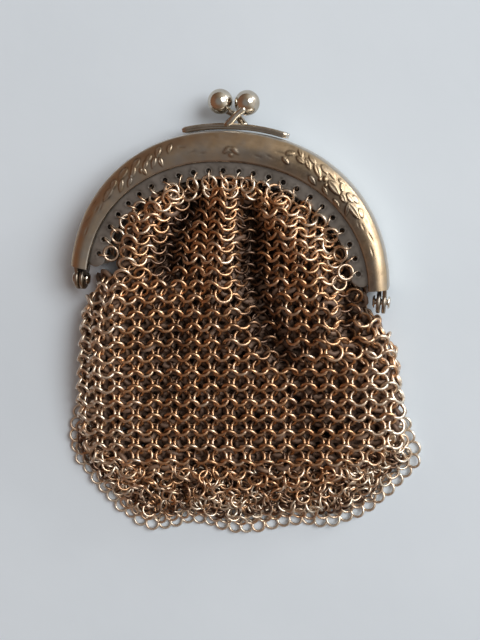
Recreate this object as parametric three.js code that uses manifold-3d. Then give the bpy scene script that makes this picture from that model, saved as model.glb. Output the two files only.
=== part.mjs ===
// Ring-mail coin purse on a two-part crescent frame with a kiss-lock clasp, lying flat and shut.
// Millimetres. +X runs along the hinge axis, +Y from the hinge towards the clasp, +Z up from the table.
// w is the height above the parting plane of the two frame halves.

import * as THREE from 'three';
import { mergeVertices } from 'three/addons/utils/BufferGeometryUtils.js';
import Module from 'manifold-3d';

const wasm = await Module();
wasm.setup();

// Frame halves
const bow_half_width = 30.0;
const bow_rise = 29.3;
const bow_squareness = 2.12;
const band_at_ends = 3.5;
const band_at_crown = 5.6;
const half_depth = 4.4;
const sheet = 0.5;
const seam_gap = 0.3;
const bow_end_y = 2.7;
const bow_sections = 24;

// Raised leaf ornament
const relief_height = 0.35;
const leaf_length = 2.9;
const leaf_width = 1.25;

// Hinge
const ear_radius = 2.1;
const ear_thickness = 0.7;
const ear_inset = 0.4;
const ear_root = 1.5;
const pin_diameter = 1.1;
const head_diameter = 2.3;
const head_thickness = 0.5;

// Pierced mounting strip inside each half
const strip_width = 2.9;
const strip_thickness = 0.45;
const strip_tuck = 1.0;
const hole_diameter = 0.95;
const hole_pitch = 3.1;
const hole_inset = 1.6;
const strip_sections = 22;
const tongue_bluntness = 0.6;
const closest_corners = 0.05;

// Kiss-lock clasp
const lock_bar_half_length = 9.4;
const lock_bar_height = 1.1;
const lock_bar_depth = 2.1;
const ball_diameter = 4.6;
const ball_gap = 0.4;
const ball_reach = 4.9;
const ball_lean = 0.7;
const stem_diameter = 1.15;
const stem_foot_offset = 1.3;
const bar_sections = 12;
const stem_sections = 6;

// Mail bag
const mail_wall = 1.0;
const bag_drop = 38.3;
const bag_thickness = 8.3;
const left_spread = 2.9;
const right_spread = 8.6;
const corner_rise = 9.0;
const row_slope = 0.11;
const corner_y = 1.5;
const fold_height = 1.3;
const fold_width = 3.6;
const fold_fade_start = 0.6;
const edge_roundness = 0.35;
const mouth_roundness = 0.1;
const flat_share = 0.7;
const bag_columns = 18;
const bag_rows = 9;

// Ring fringe
const fringe_reach = 9.9;
const net_thickness = 1.0;
const hem_ring_radius = 0.98;
const hem_wire = 0.46;
const hem_pitch = 2.5;
const net_gap = 1.3;
const net_gap_pitch = 2.9;
const net_overlap = 0.2;
const fringe_sections = 26;

// Clearances between pieces
const clearance = 0.3;
const bag_clearance = 0.5;

// Skin of one half across the band: share of the band from its outer edge, share of the depth.
const skin_table = [
  { across: 0.00, height: 0.50 },
  { across: 0.05, height: 0.58 },
  { across: 0.20, height: 0.72 },
  { across: 0.36, height: 0.87 },
  { across: 0.52, height: 1.00 },
  { across: 0.82, height: 0.96 },
  { across: 1.00, height: 0.90 },
];

// Leaves on one side of the crown: share of the way from the end to the crown, share of the band,
// turn in degrees, size.
const leaf_table = [
  { along: 0.34, across: 0.44, turn: 62, size: 0.8 },
  { along: 0.42, across: 0.62, turn: 20, size: 1.0 },
  { along: 0.44, across: 0.34, turn: 96, size: 1.0 },
  { along: 0.51, across: 0.56, turn: 48, size: 1.1 },
  { along: 0.57, across: 0.36, turn: 112, size: 0.9 },
  { along: 0.62, across: 0.60, turn: 24, size: 1.0 },
  { along: 0.70, across: 0.46, turn: 75, size: 0.8 },
  { along: 0.97, across: 0.66, turn: 35, size: 0.7 },
];

// Sides of the bag below the knuckles: share of the drop, share of each side's spread.
const side_table = [
  { down: 0.00, left: 0.00, right: 0.00 },
  { down: 0.04, left: 0.36, right: 0.22 },
  { down: 0.10, left: 0.60, right: 0.48 },
  { down: 0.18, left: 0.74, right: 0.65 },
  { down: 0.30, left: 0.87, right: 0.78 },
  { down: 0.45, left: 0.97, right: 0.92 },
  { down: 0.60, left: 1.00, right: 1.00 },
  { down: 0.76, left: 0.86, right: 0.95 },
  { down: 1.00, left: 0.66, right: 0.80 },
];

// Top and underside of the bag below its mouth, which lies level with the strips: share of its thickness.
const height_table = [
  { down: 0.12, top: 1.00, under: 0.00 },
  { down: 0.40, top: 0.98, under: 0.00 },
  { down: 0.65, top: 0.84, under: 0.00 },
  { down: 0.85, top: 0.68, under: 0.00 },
  { down: 1.00, top: 0.45, under: 0.00 },
];

// Ridges and valleys on the front: shares of the mouth's half width at the arch and where the fold dies,
// share of the fold height, and the share of the drop below the hinge where it has faded out.
const fold_table = [
  { at_arch: -0.70, at_foot: -0.96, rise: 0.8, reach: 0.85 },
  { at_arch: -0.32, at_foot: -0.28, rise: -0.3, reach: 0.30 },
  { at_arch: -0.02, at_foot: 0.00, rise: 1.0, reach: 0.35 },
  { at_arch: 0.18, at_foot: 0.27, rise: -0.3, reach: 0.45 },
  { at_arch: 0.42, at_foot: 0.86, rise: 1.0, reach: 0.45 },
  { at_arch: 0.86, at_foot: 1.22, rise: -0.3, reach: 0.40 },
];

// Depth of the fringe along the bag's lower outline: share of the way to the right, share of its reach.
const fringe_table = [
  { along: 0.00, out: 0.21 },
  { along: 0.14, out: 0.37 },
  { along: 0.26, out: 0.64 },
  { along: 0.37, out: 1.00 },
  { along: 0.45, out: 0.84 },
  { along: 0.54, out: 0.97 },
  { along: 0.62, out: 0.90 },
  { along: 0.72, out: 0.86 },
  { along: 0.86, out: 0.48 },
  { along: 1.00, out: 0.20 },
];

const parting_z = half_depth + relief_height;
const inner_half_width = bow_half_width - band_at_ends;
const inner_rise = bow_rise - band_at_crown;
const lip = skin_table[skin_table.length - 1].height * half_depth;
const strip_top = lip - sheet - clearance;
const strip_inner_half_width = inner_half_width - strip_width;
const strip_inner_rise = inner_rise - strip_width;
const outer_ear_x = bow_half_width - ear_inset;
const inner_ear_x = outer_ear_x - ear_thickness - clearance;
const inner_head_x = inner_ear_x - ear_thickness - clearance - head_thickness;
const mouth_half_width = strip_inner_half_width - bag_clearance;
const mouth_rise = strip_inner_rise - clearance;
const throat_half_width = inner_head_x - bag_clearance;
const throat_y = -(ear_radius + clearance);

const silver = new THREE.MeshStandardMaterial({ color: 0xb3a184, roughness: 0.32, metalness: 1 });
const pale_silver = new THREE.MeshStandardMaterial({ color: 0xc9bfa8, roughness: 0.22, metalness: 1 });
const grey_silver = new THREE.MeshStandardMaterial({ color: 0x8f887c, roughness: 0.4, metalness: 1 });
const bronze_mail = new THREE.MeshStandardMaterial({ color: 0x8a6238, roughness: 0.45, metalness: 1 });
const bright_mail = new THREE.MeshStandardMaterial({ color: 0xbcb09a, roughness: 0.35, metalness: 1 });

const purse = new THREE.Group();

function signedPower(value, power) {
  return Math.sign(value) * Math.abs(value) ** power;
}

// Point of a superelliptic arch at angle t, which runs from the left end at 0 over the crown to the right.
function archPoint(half_width, rise, t) {
  const power = 2 / bow_squareness;
  return new THREE.Vector2(-half_width * signedPower(Math.cos(t), power), rise * Math.sin(t) ** power);
}

// Angle from an arch's axis at which it is `offset` away from that axis, for the arch's size across it.
function archAngle(size, offset) {
  return Math.asin((offset / size) ** (bow_squareness / 2));
}

function lookUp(table, key, column, at) {
  let row = 1;
  while (row < table.length - 1 && table[row][key] < at) row += 1;
  const low = table[row - 1];
  const high = table[row];
  const share = THREE.MathUtils.clamp((at - low[key]) / (high[key] - low[key]), 0, 1);
  return THREE.MathUtils.lerp(low[column], high[column], share);
}

// Merges shared vertices and turns the faces outwards.
function closedGeometry(source) {
  const bare = source.index ? source.toNonIndexed() : source.clone();
  for (const name of Object.keys(bare.attributes)) {
    if (name !== 'position') bare.deleteAttribute(name);
  }
  const merged = mergeVertices(bare, 1e-4);
  const place = merged.attributes.position;
  const index = merged.index.array;
  const a = new THREE.Vector3();
  const b = new THREE.Vector3();
  const c = new THREE.Vector3();
  let volume = 0;
  for (let i = 0; i < index.length; i += 3) {
    a.fromBufferAttribute(place, index[i]);
    b.fromBufferAttribute(place, index[i + 1]);
    c.fromBufferAttribute(place, index[i + 2]);
    volume += a.dot(b.cross(c));
  }
  if (volume < 0) {
    for (let i = 0; i < index.length; i += 3) [index[i], index[i + 1]] = [index[i + 1], index[i]];
  }
  return merged;
}

function solid(source) {
  const geometry = closedGeometry(source);
  return new wasm.Manifold(new wasm.Mesh({
    numProp: 3,
    vertProperties: Float32Array.from(geometry.attributes.position.array),
    triVerts: Uint32Array.from(geometry.index.array),
  }));
}

function geometryOf(body) {
  const mesh = body.getMesh();
  const geometry = new THREE.BufferGeometry();
  geometry.setAttribute('position', new THREE.BufferAttribute(Float32Array.from(mesh.vertProperties), 3));
  geometry.setIndex(Array.from(mesh.triVerts));
  return geometry;
}

// Joins bodies into one and drops the slivers that the joints leave.
function fuse(bodies) {
  return bodies.slice(1).reduce((whole, body) => whole.add(body), bodies[0]).simplify(0.01);
}

function geometryFrom(points, triangles) {
  const geometry = new THREE.BufferGeometry();
  const places = points.flatMap((p) => [p.x, p.y, p.z]);
  geometry.setAttribute('position', new THREE.Float32BufferAttribute(places, 3));
  geometry.setIndex(triangles);
  return closedGeometry(geometry);
}

// Body swept through closed sections with equally many points, with flat ends cut as `flat` is drawn.
function sweptGeometry(sections, flat) {
  const count = flat.length;
  const triangles = [];
  for (let s = 0; s < sections.length - 1; s += 1) {
    for (let k = 0; k < count; k += 1) {
      const next = (k + 1) % count;
      const a = s * count + k;
      const b = s * count + next;
      triangles.push(a, b, b + count, a, b + count, a + count);
    }
  }
  const last = (sections.length - 1) * count;
  const clockwise = THREE.ShapeUtils.isClockWise(flat);
  for (const [i, j, k] of THREE.ShapeUtils.triangulateShape(flat, [])) {
    if (clockwise) triangles.push(i, j, k, last + i, last + k, last + j);
    else triangles.push(i, k, j, last + i, last + j, last + k);
  }
  return geometryFrom(sections.flat(), triangles);
}

// Sheet-metal section across the band: outer skin, then the inner skin one sheet below it.
function bandSection(band) {
  const outer = [new THREE.Vector2(0, seam_gap / 2)];
  for (const row of skin_table) outer.push(new THREE.Vector2(row.across * band, row.height * half_depth));
  const inner = outer.map((point, i) => {
    const before = outer[Math.max(i - 1, 0)];
    const after = outer[Math.min(i + 1, outer.length - 1)];
    const along = after.clone().sub(before).normalize();
    const below = new THREE.Vector2(point.x + along.y * sheet, point.y - along.x * sheet);
    if (i === 0) below.set(sheet, seam_gap / 2);
    if (i === outer.length - 1) below.set(band, point.y - sheet);
    return below;
  });
  return outer.concat(inner.reverse());
}

// Outer edge, inner edge and direction across the band at angle t.
function bandAt(t) {
  const outer = archPoint(bow_half_width, bow_rise, t);
  const inner = archPoint(inner_half_width, inner_rise, t);
  const across = inner.clone().sub(outer);
  return { outer, across: across.clone().normalize(), band: across.length() };
}

const bow_start = archAngle(bow_rise, bow_end_y);

function bowShell() {
  const sections = [];
  for (let s = 0; s <= bow_sections; s += 1) {
    const t = THREE.MathUtils.lerp(bow_start, Math.PI - bow_start, s / bow_sections);
    const { outer, across, band } = bandAt(t);
    sections.push(bandSection(band).map((p) => (
      new THREE.Vector3(outer.x + across.x * p.x, outer.y + across.y * p.x, p.y)
    )));
  }
  return solid(sweptGeometry(sections, bandSection(bandAt(bow_start).band)));
}

// A low pointed leaf with a midrib, which stands relief_height proud of the face.
function leaf(t, across_share, turn, size) {
  const { outer, across, band } = bandAt(t);
  const depth = lookUp(skin_table, 'across', 'height', across_share) * half_depth;
  const thickness = relief_height + sheet / 2;
  const body = new THREE.OctahedronGeometry(1, 0);
  body.scale(size * leaf_length / 2, size * leaf_width / 2, thickness);
  body.rotateZ(Math.atan2(across.y, across.x) + THREE.MathUtils.degToRad(turn));
  const x = outer.x + across.x * across_share * band;
  const y = outer.y + across.y * across_share * band;
  return solid(body.translate(x, y, depth + relief_height - thickness));
}

function leafSprays() {
  const leaves = [];
  for (const row of leaf_table) {
    const t = THREE.MathUtils.lerp(bow_start, Math.PI / 2, row.along);
    leaves.push(leaf(t, row.across, row.turn, row.size));
    leaves.push(leaf(Math.PI - t, row.across, -row.turn, row.size));
  }
  return leaves;
}

// Flat hinge ear with its outer face at ear_x, its root inside the end of the half, and a hole for the pin.
function ear(ear_x, root_top) {
  const disc = new THREE.CylinderGeometry(ear_radius, ear_radius, ear_thickness, 14);
  disc.rotateZ(Math.PI / 2);
  const root_end = bow_end_y + ear_root;
  const root_height = root_top - seam_gap;
  const root = new THREE.BoxGeometry(ear_thickness, root_end, root_height);
  root.translate(0, root_end / 2, seam_gap + root_height / 2);
  const hole = new THREE.CylinderGeometry(
    pin_diameter / 2 + clearance, pin_diameter / 2 + clearance, ear_thickness * 3, 10);
  hole.rotateZ(Math.PI / 2);
  const body = solid(disc).add(solid(root)).subtract(solid(hole));
  return body.translate([ear_x - ear_thickness / 2, 0, 0]);
}

// One half of the frame, face up. Its ears sit outside or inside the other half's.
function bowHalf(ear_x) {
  const across_share = (bow_half_width - ear_x) / band_at_ends;
  const root_top = lookUp(skin_table, 'across', 'height', across_share) * half_depth - sheet / 2;
  const right = ear(ear_x, root_top);
  const left = right.mirror([1, 0, 0]);
  return geometryOf(fuse([bowShell(), ...leafSprays(), right, left]));
}

function hingeRivet() {
  const length = outer_ear_x - inner_ear_x + ear_thickness + clearance * 2;
  const middle = (outer_ear_x + inner_ear_x - ear_thickness) / 2;
  const pin = new THREE.CylinderGeometry(pin_diameter / 2, pin_diameter / 2, length + head_thickness, 10);
  const parts = [solid(pin)];
  for (const side of [-1, 1]) {
    const head = new THREE.CylinderGeometry(head_diameter / 2, head_diameter / 2, head_thickness, 10);
    head.translate(0, side * (length + head_thickness) / 2, 0);
    parts.push(solid(head));
  }
  return geometryOf(fuse(parts).rotate([0, 0, 90]).translate([middle, 0, 0]));
}

// Pierced strip: its outer edge is tucked under the lip of the face, its holes run along the middle.
function mountingStrip() {
  const outer_half = inner_half_width + strip_tuck;
  const outer_rise = inner_rise + strip_tuck;
  const start = archAngle(inner_rise, bow_end_y + strip_width / 2);
  const edge = (half_width, rise) => Array.from({ length: strip_sections + 1 }, (_, i) => (
    archPoint(half_width, rise, THREE.MathUtils.lerp(start, Math.PI - start, i / strip_sections))
  ));
  const outer = edge(outer_half, outer_rise);
  const inner = edge(strip_inner_half_width, strip_inner_rise);
  const tongue = (from, to) => {
    const middle = from.clone().add(to).multiplyScalar(0.5);
    const radius = from.distanceTo(to) / 2;
    return [-30, -90, -150].map((degrees) => {
      const angle = THREE.MathUtils.degToRad(degrees);
      const drop = tongue_bluntness * radius * Math.sin(angle);
      return new THREE.Vector2(middle.x + radius * Math.cos(angle), middle.y + drop);
    });
  };
  const right_end = tongue(inner[strip_sections], outer[strip_sections]);
  const left_end = tongue(outer[0], inner[0]);
  const outline = [...left_end.reverse(), ...inner, ...right_end.reverse(), ...outer.reverse()];
  const shape = new THREE.Shape(outline
    .filter((point, i, all) => i === 0 || point.distanceTo(all[i - 1]) > closest_corners));
  const line = new THREE.CatmullRomCurve3(edge(inner_half_width - hole_inset, inner_rise - hole_inset)
    .map((p) => new THREE.Vector3(p.x, p.y, 0)));
  const holes = Math.floor(line.getLength() / hole_pitch);
  for (let i = 0; i < holes; i += 1) {
    const p = line.getPointAt((i + 0.5) / holes);
    shape.holes.push(new THREE.Path().absarc(p.x, p.y, hole_diameter / 2, 0, Math.PI * 2, true));
  }
  const strip = new THREE.ExtrudeGeometry(shape, {
    depth: strip_thickness,
    bevelEnabled: false,
    curveSegments: 3,
  });
  return closedGeometry(strip.translate(0, 0, strip_top - strip_thickness));
}

// Curved bar on the outside of the crown, with a bent stem that carries a ball to the other side.
// `lean` moves the ball sideways: both balls lean to the left of the crown.
function clasp(lean) {
  const seat = clearance;
  const sections = [];
  const flat = [
    new THREE.Vector2(seat, seam_gap / 2),
    new THREE.Vector2(seat + lock_bar_height, seam_gap / 2),
    new THREE.Vector2(seat + lock_bar_height, lock_bar_depth),
    new THREE.Vector2(seat, lock_bar_depth),
  ];
  const reach = archAngle(bow_half_width, lock_bar_half_length);
  for (let i = 0; i <= bar_sections; i += 1) {
    const t = Math.PI / 2 + THREE.MathUtils.lerp(-reach, reach, i / bar_sections);
    const foot = archPoint(bow_half_width, bow_rise, t);
    const ahead = archPoint(bow_half_width, bow_rise, t + 0.01).sub(foot).normalize();
    sections.push(flat.map((p) => new THREE.Vector3(foot.x - ahead.y * p.x, foot.y + ahead.x * p.x, p.y)));
  }
  const bar = solid(sweptGeometry(sections, flat));
  const foot_y = bow_rise + seat + lock_bar_height / 2;
  const foot_w = lock_bar_depth / 2 + seam_gap / 2;
  const ball_x = (ball_diameter + ball_gap) / 2 + lean;
  const ball_y = bow_rise + seat + ball_reach;
  const path = new THREE.CatmullRomCurve3([
    new THREE.Vector3(-stem_foot_offset, foot_y, foot_w),
    new THREE.Vector3(-stem_foot_offset / 4, foot_y + ball_reach / 4, foot_w + stem_diameter / 4),
    new THREE.Vector3(ball_x, ball_y, 0),
  ]);
  const section = new THREE.Shape().absarc(0, 0, stem_diameter / 2, 0, Math.PI * 2, false);
  const stem = new THREE.ExtrudeGeometry(section, {
    steps: stem_sections,
    extrudePath: path,
    curveSegments: 4,
  });
  const ball = new THREE.SphereGeometry(ball_diameter / 2, 12, 8);
  ball.translate(ball_x, ball_y, 0);
  return geometryOf(fuse([bar, solid(stem), solid(ball)]));
}

// Half width of the bag at height y on its left or right side.
function sideReach(side, y) {
  if (y >= corner_y) return mouth_half_width;
  if (y >= throat_y) {
    const narrowing = (corner_y - y) / (corner_y - throat_y);
    return THREE.MathUtils.lerp(mouth_half_width, throat_half_width, narrowing);
  }
  const down = (throat_y - y) / (bag_drop + throat_y);
  const spread = side === 'left' ? left_spread : right_spread;
  return throat_half_width + spread * lookUp(side_table, 'down', side, down);
}

function foldRise(x, y) {
  let rise = 0;
  for (const fold of fold_table) {
    const foot_y = -fold.reach * bag_drop;
    const down = THREE.MathUtils.clamp((mouth_rise - y) / (mouth_rise - foot_y), 0, 1);
    const at = mouth_half_width * THREE.MathUtils.lerp(fold.at_arch, fold.at_foot, down);
    const entry = THREE.MathUtils.smoothstep(mouth_rise - y, 0, fold_width);
    const fade = entry * (1 - THREE.MathUtils.smoothstep(down, fold_fade_start, 1));
    rise += fold.rise * fold_height * fade * Math.exp(-(((x - at) / fold_width) ** 2));
  }
  return rise;
}

// Point of the bag's skin. Its angle starts at the left edge and runs over the front to the right edge and
// back underneath. `inset` moves it inwards by the wall.
function bagPoint(angle, down, inset) {
  const cos = Math.cos(angle);
  const arc = Math.abs(Math.sin(angle));
  const side = cos > 0 ? 'left' : 'right';
  const top_y = corner_y + (mouth_rise - corner_y) * arc;
  const low_x = -cos * (throat_half_width + (side === 'left' ? left_spread : right_spread));
  const foot_y = -bag_drop + row_slope * low_x + corner_rise * cos ** 8 + inset;
  const y = THREE.MathUtils.lerp(top_y, foot_y, down);
  const x = -cos * (sideReach(side, y) - inset);
  const below_mouth = Math.min(down / height_table[0].down, 1);
  const table_top = lookUp(height_table, 'down', 'top', down) * bag_thickness;
  const table_under = lookUp(height_table, 'down', 'under', down) * bag_thickness;
  const top = THREE.MathUtils.lerp(parting_z + strip_top, table_top, below_mouth);
  const under = THREE.MathUtils.lerp(parting_z - strip_top, table_under, below_mouth);
  const middle = (top + under) / 2;
  const half = (top - under) / 2 - inset;
  const roundness = THREE.MathUtils.lerp(mouth_roundness, edge_roundness, below_mouth);
  const bulge = half * Math.min(1, arc / flat_share) ** roundness;
  const front = Math.sin(angle) > 0;
  const rise = front ? foldRise(x, y) * arc : 0;
  return new THREE.Vector3(x, y, front ? middle + bulge + rise : middle - bulge);
}

// Open-mouthed bag: outer skin, inner skin, a rim round the mouth and a closed lower edge.
function mailBag() {
  const count = bag_columns * 2;
  const points = [];
  const triangles = [];
  const step = Math.PI * 2 / count;
  for (const inset of [0, mail_wall]) {
    for (let r = 0; r <= bag_rows; r += 1) {
      for (let k = 0; k < count; k += 1) points.push(bagPoint(step * k, r / bag_rows, inset));
    }
  }
  const at = (skin, r, k) => (skin * (bag_rows + 1) + r) * count + (k + count) % count;
  const quad = (a, b, c, d, flip) => {
    if (flip) triangles.push(a, c, b, a, d, c);
    else triangles.push(a, b, c, a, c, d);
  };
  for (const skin of [0, 1]) {
    const inside = skin === 1;
    for (let r = 0; r < bag_rows; r += 1) {
      for (let k = 0; k < count; k += 1) {
        quad(at(skin, r, k), at(skin, r, k + 1), at(skin, r + 1, k + 1), at(skin, r + 1, k), inside);
      }
    }
    const foot = (k) => at(skin, bag_rows, k);
    for (let k = 0; k < bag_columns; k += 1) quad(foot(k), foot(k + 1), foot(-k - 1), foot(-k), inside);
  }
  const rim = (skin, k) => at(skin, 0, k);
  for (let k = 0; k < count; k += 1) quad(rim(0, k), rim(1, k), rim(1, k + 1), rim(0, k + 1), false);
  return geometryFrom(points, triangles);
}

// Point at a distance outside the bag's lower outline, share 0 at its left corner and 1 at its right.
function belowBag(share, distance) {
  const step = 0.01;
  const here = bagPoint(Math.PI * THREE.MathUtils.clamp(share, step, 1 - step), 1, 0);
  const before = bagPoint(Math.PI * Math.max(share - step, 0), 1, 0);
  const after = bagPoint(Math.PI * Math.min(share + step, 1), 1, 0);
  const along = after.sub(before).setZ(0).normalize();
  return new THREE.Vector2(here.x + along.y * distance, here.y - along.x * distance);
}

// Flat open net below the bag, with a row of rings fused to its edge.
function fringe() {
  const reachAt = (share) => fringe_reach * lookUp(fringe_table, 'along', 'out', share);
  const ring_line = [];
  const inner = [];
  const outer = [];
  for (let i = 0; i <= fringe_sections; i += 1) {
    const share = i / fringe_sections;
    const centre = belowBag(share, reachAt(share));
    ring_line.push(new THREE.Vector3(centre.x, centre.y, 0));
    inner.push(belowBag(share, bag_clearance));
    outer.push(belowBag(share, reachAt(share) - hem_ring_radius + net_overlap));
  }
  const shape = new THREE.Shape([...outer, ...inner.reverse()]);
  const gaps = Math.floor(2 * throat_half_width / net_gap_pitch);
  for (let i = 1; i < gaps; i += 1) {
    const share = Math.acos(1 - 2 * i / gaps) / Math.PI;
    const p = belowBag(share, (reachAt(share) + bag_clearance - hem_ring_radius) / 2);
    shape.holes.push(new THREE.Path().absarc(p.x, p.y, net_gap / 2, 0, Math.PI * 2, true));
  }
  const net = new THREE.ExtrudeGeometry(shape, {
    depth: net_thickness,
    bevelEnabled: false,
    curveSegments: 3,
  });
  const parts = [solid(net)];
  const line = new THREE.CatmullRomCurve3(ring_line);
  const rings = Math.round(line.getLength() / hem_pitch);
  for (let i = 0; i <= rings; i += 1) {
    const p = line.getPointAt(i / rings);
    const ring = new THREE.TorusGeometry(hem_ring_radius, hem_wire / 2, 5, 10);
    parts.push(solid(ring.translate(p.x, p.y, hem_wire / 2)));
  }
  return geometryOf(fuse(parts));
}

function add(name, geometry, material, turned = false) {
  const mesh = new THREE.Mesh(geometry, material);
  mesh.name = name;
  if (turned) mesh.rotation.y = Math.PI;
  frame.add(mesh);
  return mesh;
}

const frame = new THREE.Group();
frame.position.z = parting_z;
purse.add(frame);

const strip = mountingStrip();
const rivet = hingeRivet();
add('front_bow', bowHalf(outer_ear_x), silver);
add('back_bow', bowHalf(inner_ear_x), silver, true);
add('front_strip', strip, grey_silver);
add('back_strip', strip, grey_silver, true);
add('front_clasp', clasp(-ball_lean), pale_silver);
add('back_clasp', clasp(ball_lean), pale_silver, true);
add('right_hinge_rivet', rivet, pale_silver);
add('left_hinge_rivet', rivet, pale_silver, true);

const bag = new THREE.Mesh(mailBag(), bronze_mail);
bag.name = 'mail_bag';
const fringe_mesh = new THREE.Mesh(fringe(), bright_mail);
fringe_mesh.name = 'ring_fringe';
purse.add(bag, fringe_mesh);

// The origin goes to the middle of the footprint, on the table.
purse.updateMatrixWorld(true);
const bounds = new THREE.Box3().setFromObject(purse, true);
const middle = bounds.getCenter(new THREE.Vector3());
purse.position.set(-middle.x, -middle.y, -bounds.min.z);

export default purse;
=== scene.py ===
"""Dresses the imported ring-mail coin purse: frame, pierced strips, clasp, woven rings, fringe and stage.

Tables and shape functions are in millimetres in the purse's own place: x along the hinge axis, y from the
hinge towards the clasp, z up from the table. `settled` turns them into the row frame, in metres.
"""

import math

import bmesh
import bpy
import numpy as np
from bpy.props import FloatProperty, FloatVectorProperty, IntProperty, PointerProperty
from mathutils import Matrix, Vector
from mathutils.bvhtree import BVHTree


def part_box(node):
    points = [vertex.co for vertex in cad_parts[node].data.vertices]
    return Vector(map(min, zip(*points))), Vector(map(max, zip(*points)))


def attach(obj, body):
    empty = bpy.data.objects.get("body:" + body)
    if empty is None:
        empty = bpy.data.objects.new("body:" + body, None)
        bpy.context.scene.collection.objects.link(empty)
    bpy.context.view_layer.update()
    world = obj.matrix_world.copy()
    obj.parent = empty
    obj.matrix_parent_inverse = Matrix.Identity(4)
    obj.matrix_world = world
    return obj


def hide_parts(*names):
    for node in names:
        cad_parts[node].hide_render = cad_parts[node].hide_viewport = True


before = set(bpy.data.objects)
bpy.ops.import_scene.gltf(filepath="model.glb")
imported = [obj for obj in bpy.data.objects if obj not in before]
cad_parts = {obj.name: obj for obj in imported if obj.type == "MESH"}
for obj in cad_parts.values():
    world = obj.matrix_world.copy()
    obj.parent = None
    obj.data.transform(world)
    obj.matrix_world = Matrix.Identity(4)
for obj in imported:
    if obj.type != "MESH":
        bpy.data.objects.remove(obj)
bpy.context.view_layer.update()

bl_info = {
    "name": "Ring-mail coin purse",
    "version": (1, 0, 0),
    "blender": (4, 5, 0),
    "location": "View3D > Sidebar > Purse",
    "description": "Pressed frame, clasp, woven ring mail and fringe around the packed purse",
    "category": "Object",
}

MM = 0.001
UP = np.array([0.0, 0.0, 1.0])
BLACK = (0, 0, 0)
WHITE = (1, 1, 1)
BOW_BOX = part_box("front_bow")
PIN_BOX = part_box("right_hinge_rivet")
# Point on the table under the middle of the hinge axis, and the height of the plane between the halves.
HINGE = Vector(((BOW_BOX[0].x + BOW_BOX[1].x) / 2, (PIN_BOX[0].y + PIN_BOX[1].y) / 2, 0))
PARTING = (PIN_BOX[0].z + PIN_BOX[1].z) / 2 / MM
# Gap between the frame and the lock bar, and how far over the hinge axis the band begins.
CLEARANCE = 0.3
BAND_FOOT = 2.7

# Face of one frame half from the seam at the outer edge to the inner lip: share of the band, of the depth.
SKIN = [
    (0.000, 0.035), (0.000, 0.600), (0.004, 0.660), (0.014, 0.710), (0.03, 0.752), (0.05, 0.785),
    (0.10, 0.828), (0.15, 0.864), (0.20, 0.894), (0.26, 0.925), (0.32, 0.949), (0.38, 0.967),
    (0.45, 0.983), (0.52, 0.994), (0.60, 1.000), (0.70, 0.994), (0.80, 0.980), (0.94, 0.957),
    (0.965, 0.948), (0.985, 0.925), (1.000, 0.87), (1.000, 0.78),
]

# Leaves of the two sprays: millimetres from the crown along the band, with the left spray below zero, share
# of the band, turn in degrees from the band's direction, length and width in millimetres, how worn it is.
LEAVES = [
    (10.4, 0.58, 21, 1.4, 0.60, 0.4), (10.8, 0.30, -27, 1.6, 0.60, 0.4),
    (12.5, 0.15, 47, 1.4, 0.70, 0.6), (13.0, 0.36, 9, 1.7, 0.80, 0.7), (14.8, 0.16, 23, 1.6, 0.80, 1.0),
    (14.4, 0.36, 39, 1.8, 0.85, 0.8), (16.4, 0.38, 38, 2.1, 0.95, 0.8),
    (17.5, 0.20, 11, 1.7, 0.85, 0.9), (16.3, 0.77, 19, 1.8, 0.75, 0.3),
    (18.7, 0.14, 21, 2.2, 0.85, 0.3), (19.4, 0.80, 19, 1.5, 0.60, 0.3), (20.5, 0.49, 6, 2.7, 1.20, 0.9),
    (21.0, 0.13, -12, 1.3, 0.45, 0.8), (21.7, 0.29, 29, 1.3, 0.55, 0.6),
    (22.5, 0.84, 4, 1.7, 0.60, 0.2), (22.9, 0.50, 9, 1.6, 0.90, 1.0), (23.9, 0.30, -1, 1.8, 0.85, 0.8),
    (24.8, 0.17, -4, 1.5, 0.70, 1.0), (24.8, 0.68, 57, 1.9, 0.70, 0.2),
    (25.9, 0.48, -5, 3.2, 1.05, 0.6), (27.1, 0.30, 5, 1.5, 0.65, 0.7), (0.9, 0.62, 40, 1.5, 0.60, 0.2),
    (-11.3, 0.34, 61, 1.4, 0.65, 0.3), (-13.5, 0.32, 54, 1.7, 0.80, 0.4),
    (-13.4, 0.68, 96, 1.4, 0.65, 0.3), (-14.8, 0.60, 54, 1.6, 0.75, 0.4),
    (-15.6, 0.40, 30, 1.6, 0.70, 0.5), (-16.5, 0.55, 49, 1.6, 0.75, 0.5),
    (-17.0, 0.74, 99, 1.1, 0.55, 0.3), (-18.2, 0.34, 25, 2.0, 0.85, 0.5),
    (-19.2, 0.54, 45, 1.7, 0.80, 0.5), (-20.6, 0.76, 32, 1.5, 0.70, 0.3),
    (-21.2, 0.36, 14, 2.3, 0.95, 0.5), (-22.5, 0.66, 42, 1.9, 0.80, 0.4),
    (-23.8, 0.42, 18, 1.8, 0.80, 0.5), (-25.6, 0.52, 4, 2.6, 0.90, 0.4),
    (-0.6, 0.62, 40, 1.5, 0.60, 0.2),
]

# The leaves as stamped, against their lengths and widths in the table.
LEAF_LENGTHS = 1.15
LEAF_WIDTHS = 1.25

# Beads of the sprays: millimetres from the crown, share of the band, radius in millimetres.
BEADS = [
    (18.3, 0.46, 0.42), (17.5, 0.58, 0.30), (19.0, 0.62, 0.30), (-17.6, 0.64, 0.38),
    (-19.9, 0.62, 0.32), (0.2, 0.76, 0.34),
]

# Tarnish across the band: the rims are worn bright and painted brighter still as highlights, the outer
# slope is warmer partly as a painted reflection of the brown room, and the inner lip is dark as a painted
# shadow. Share of the band, tarnish.
BAND_TARNISH_AND_LIGHT = [
    (0.0, 0.05), (0.03, 0.1), (0.06, 0.60), (0.40, 0.64), (0.50, 0.58), (0.60, 0.46), (0.94, 0.46),
    (0.965, 0.1), (0.99, 0.1), (1.0, 0.8),
]

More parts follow.
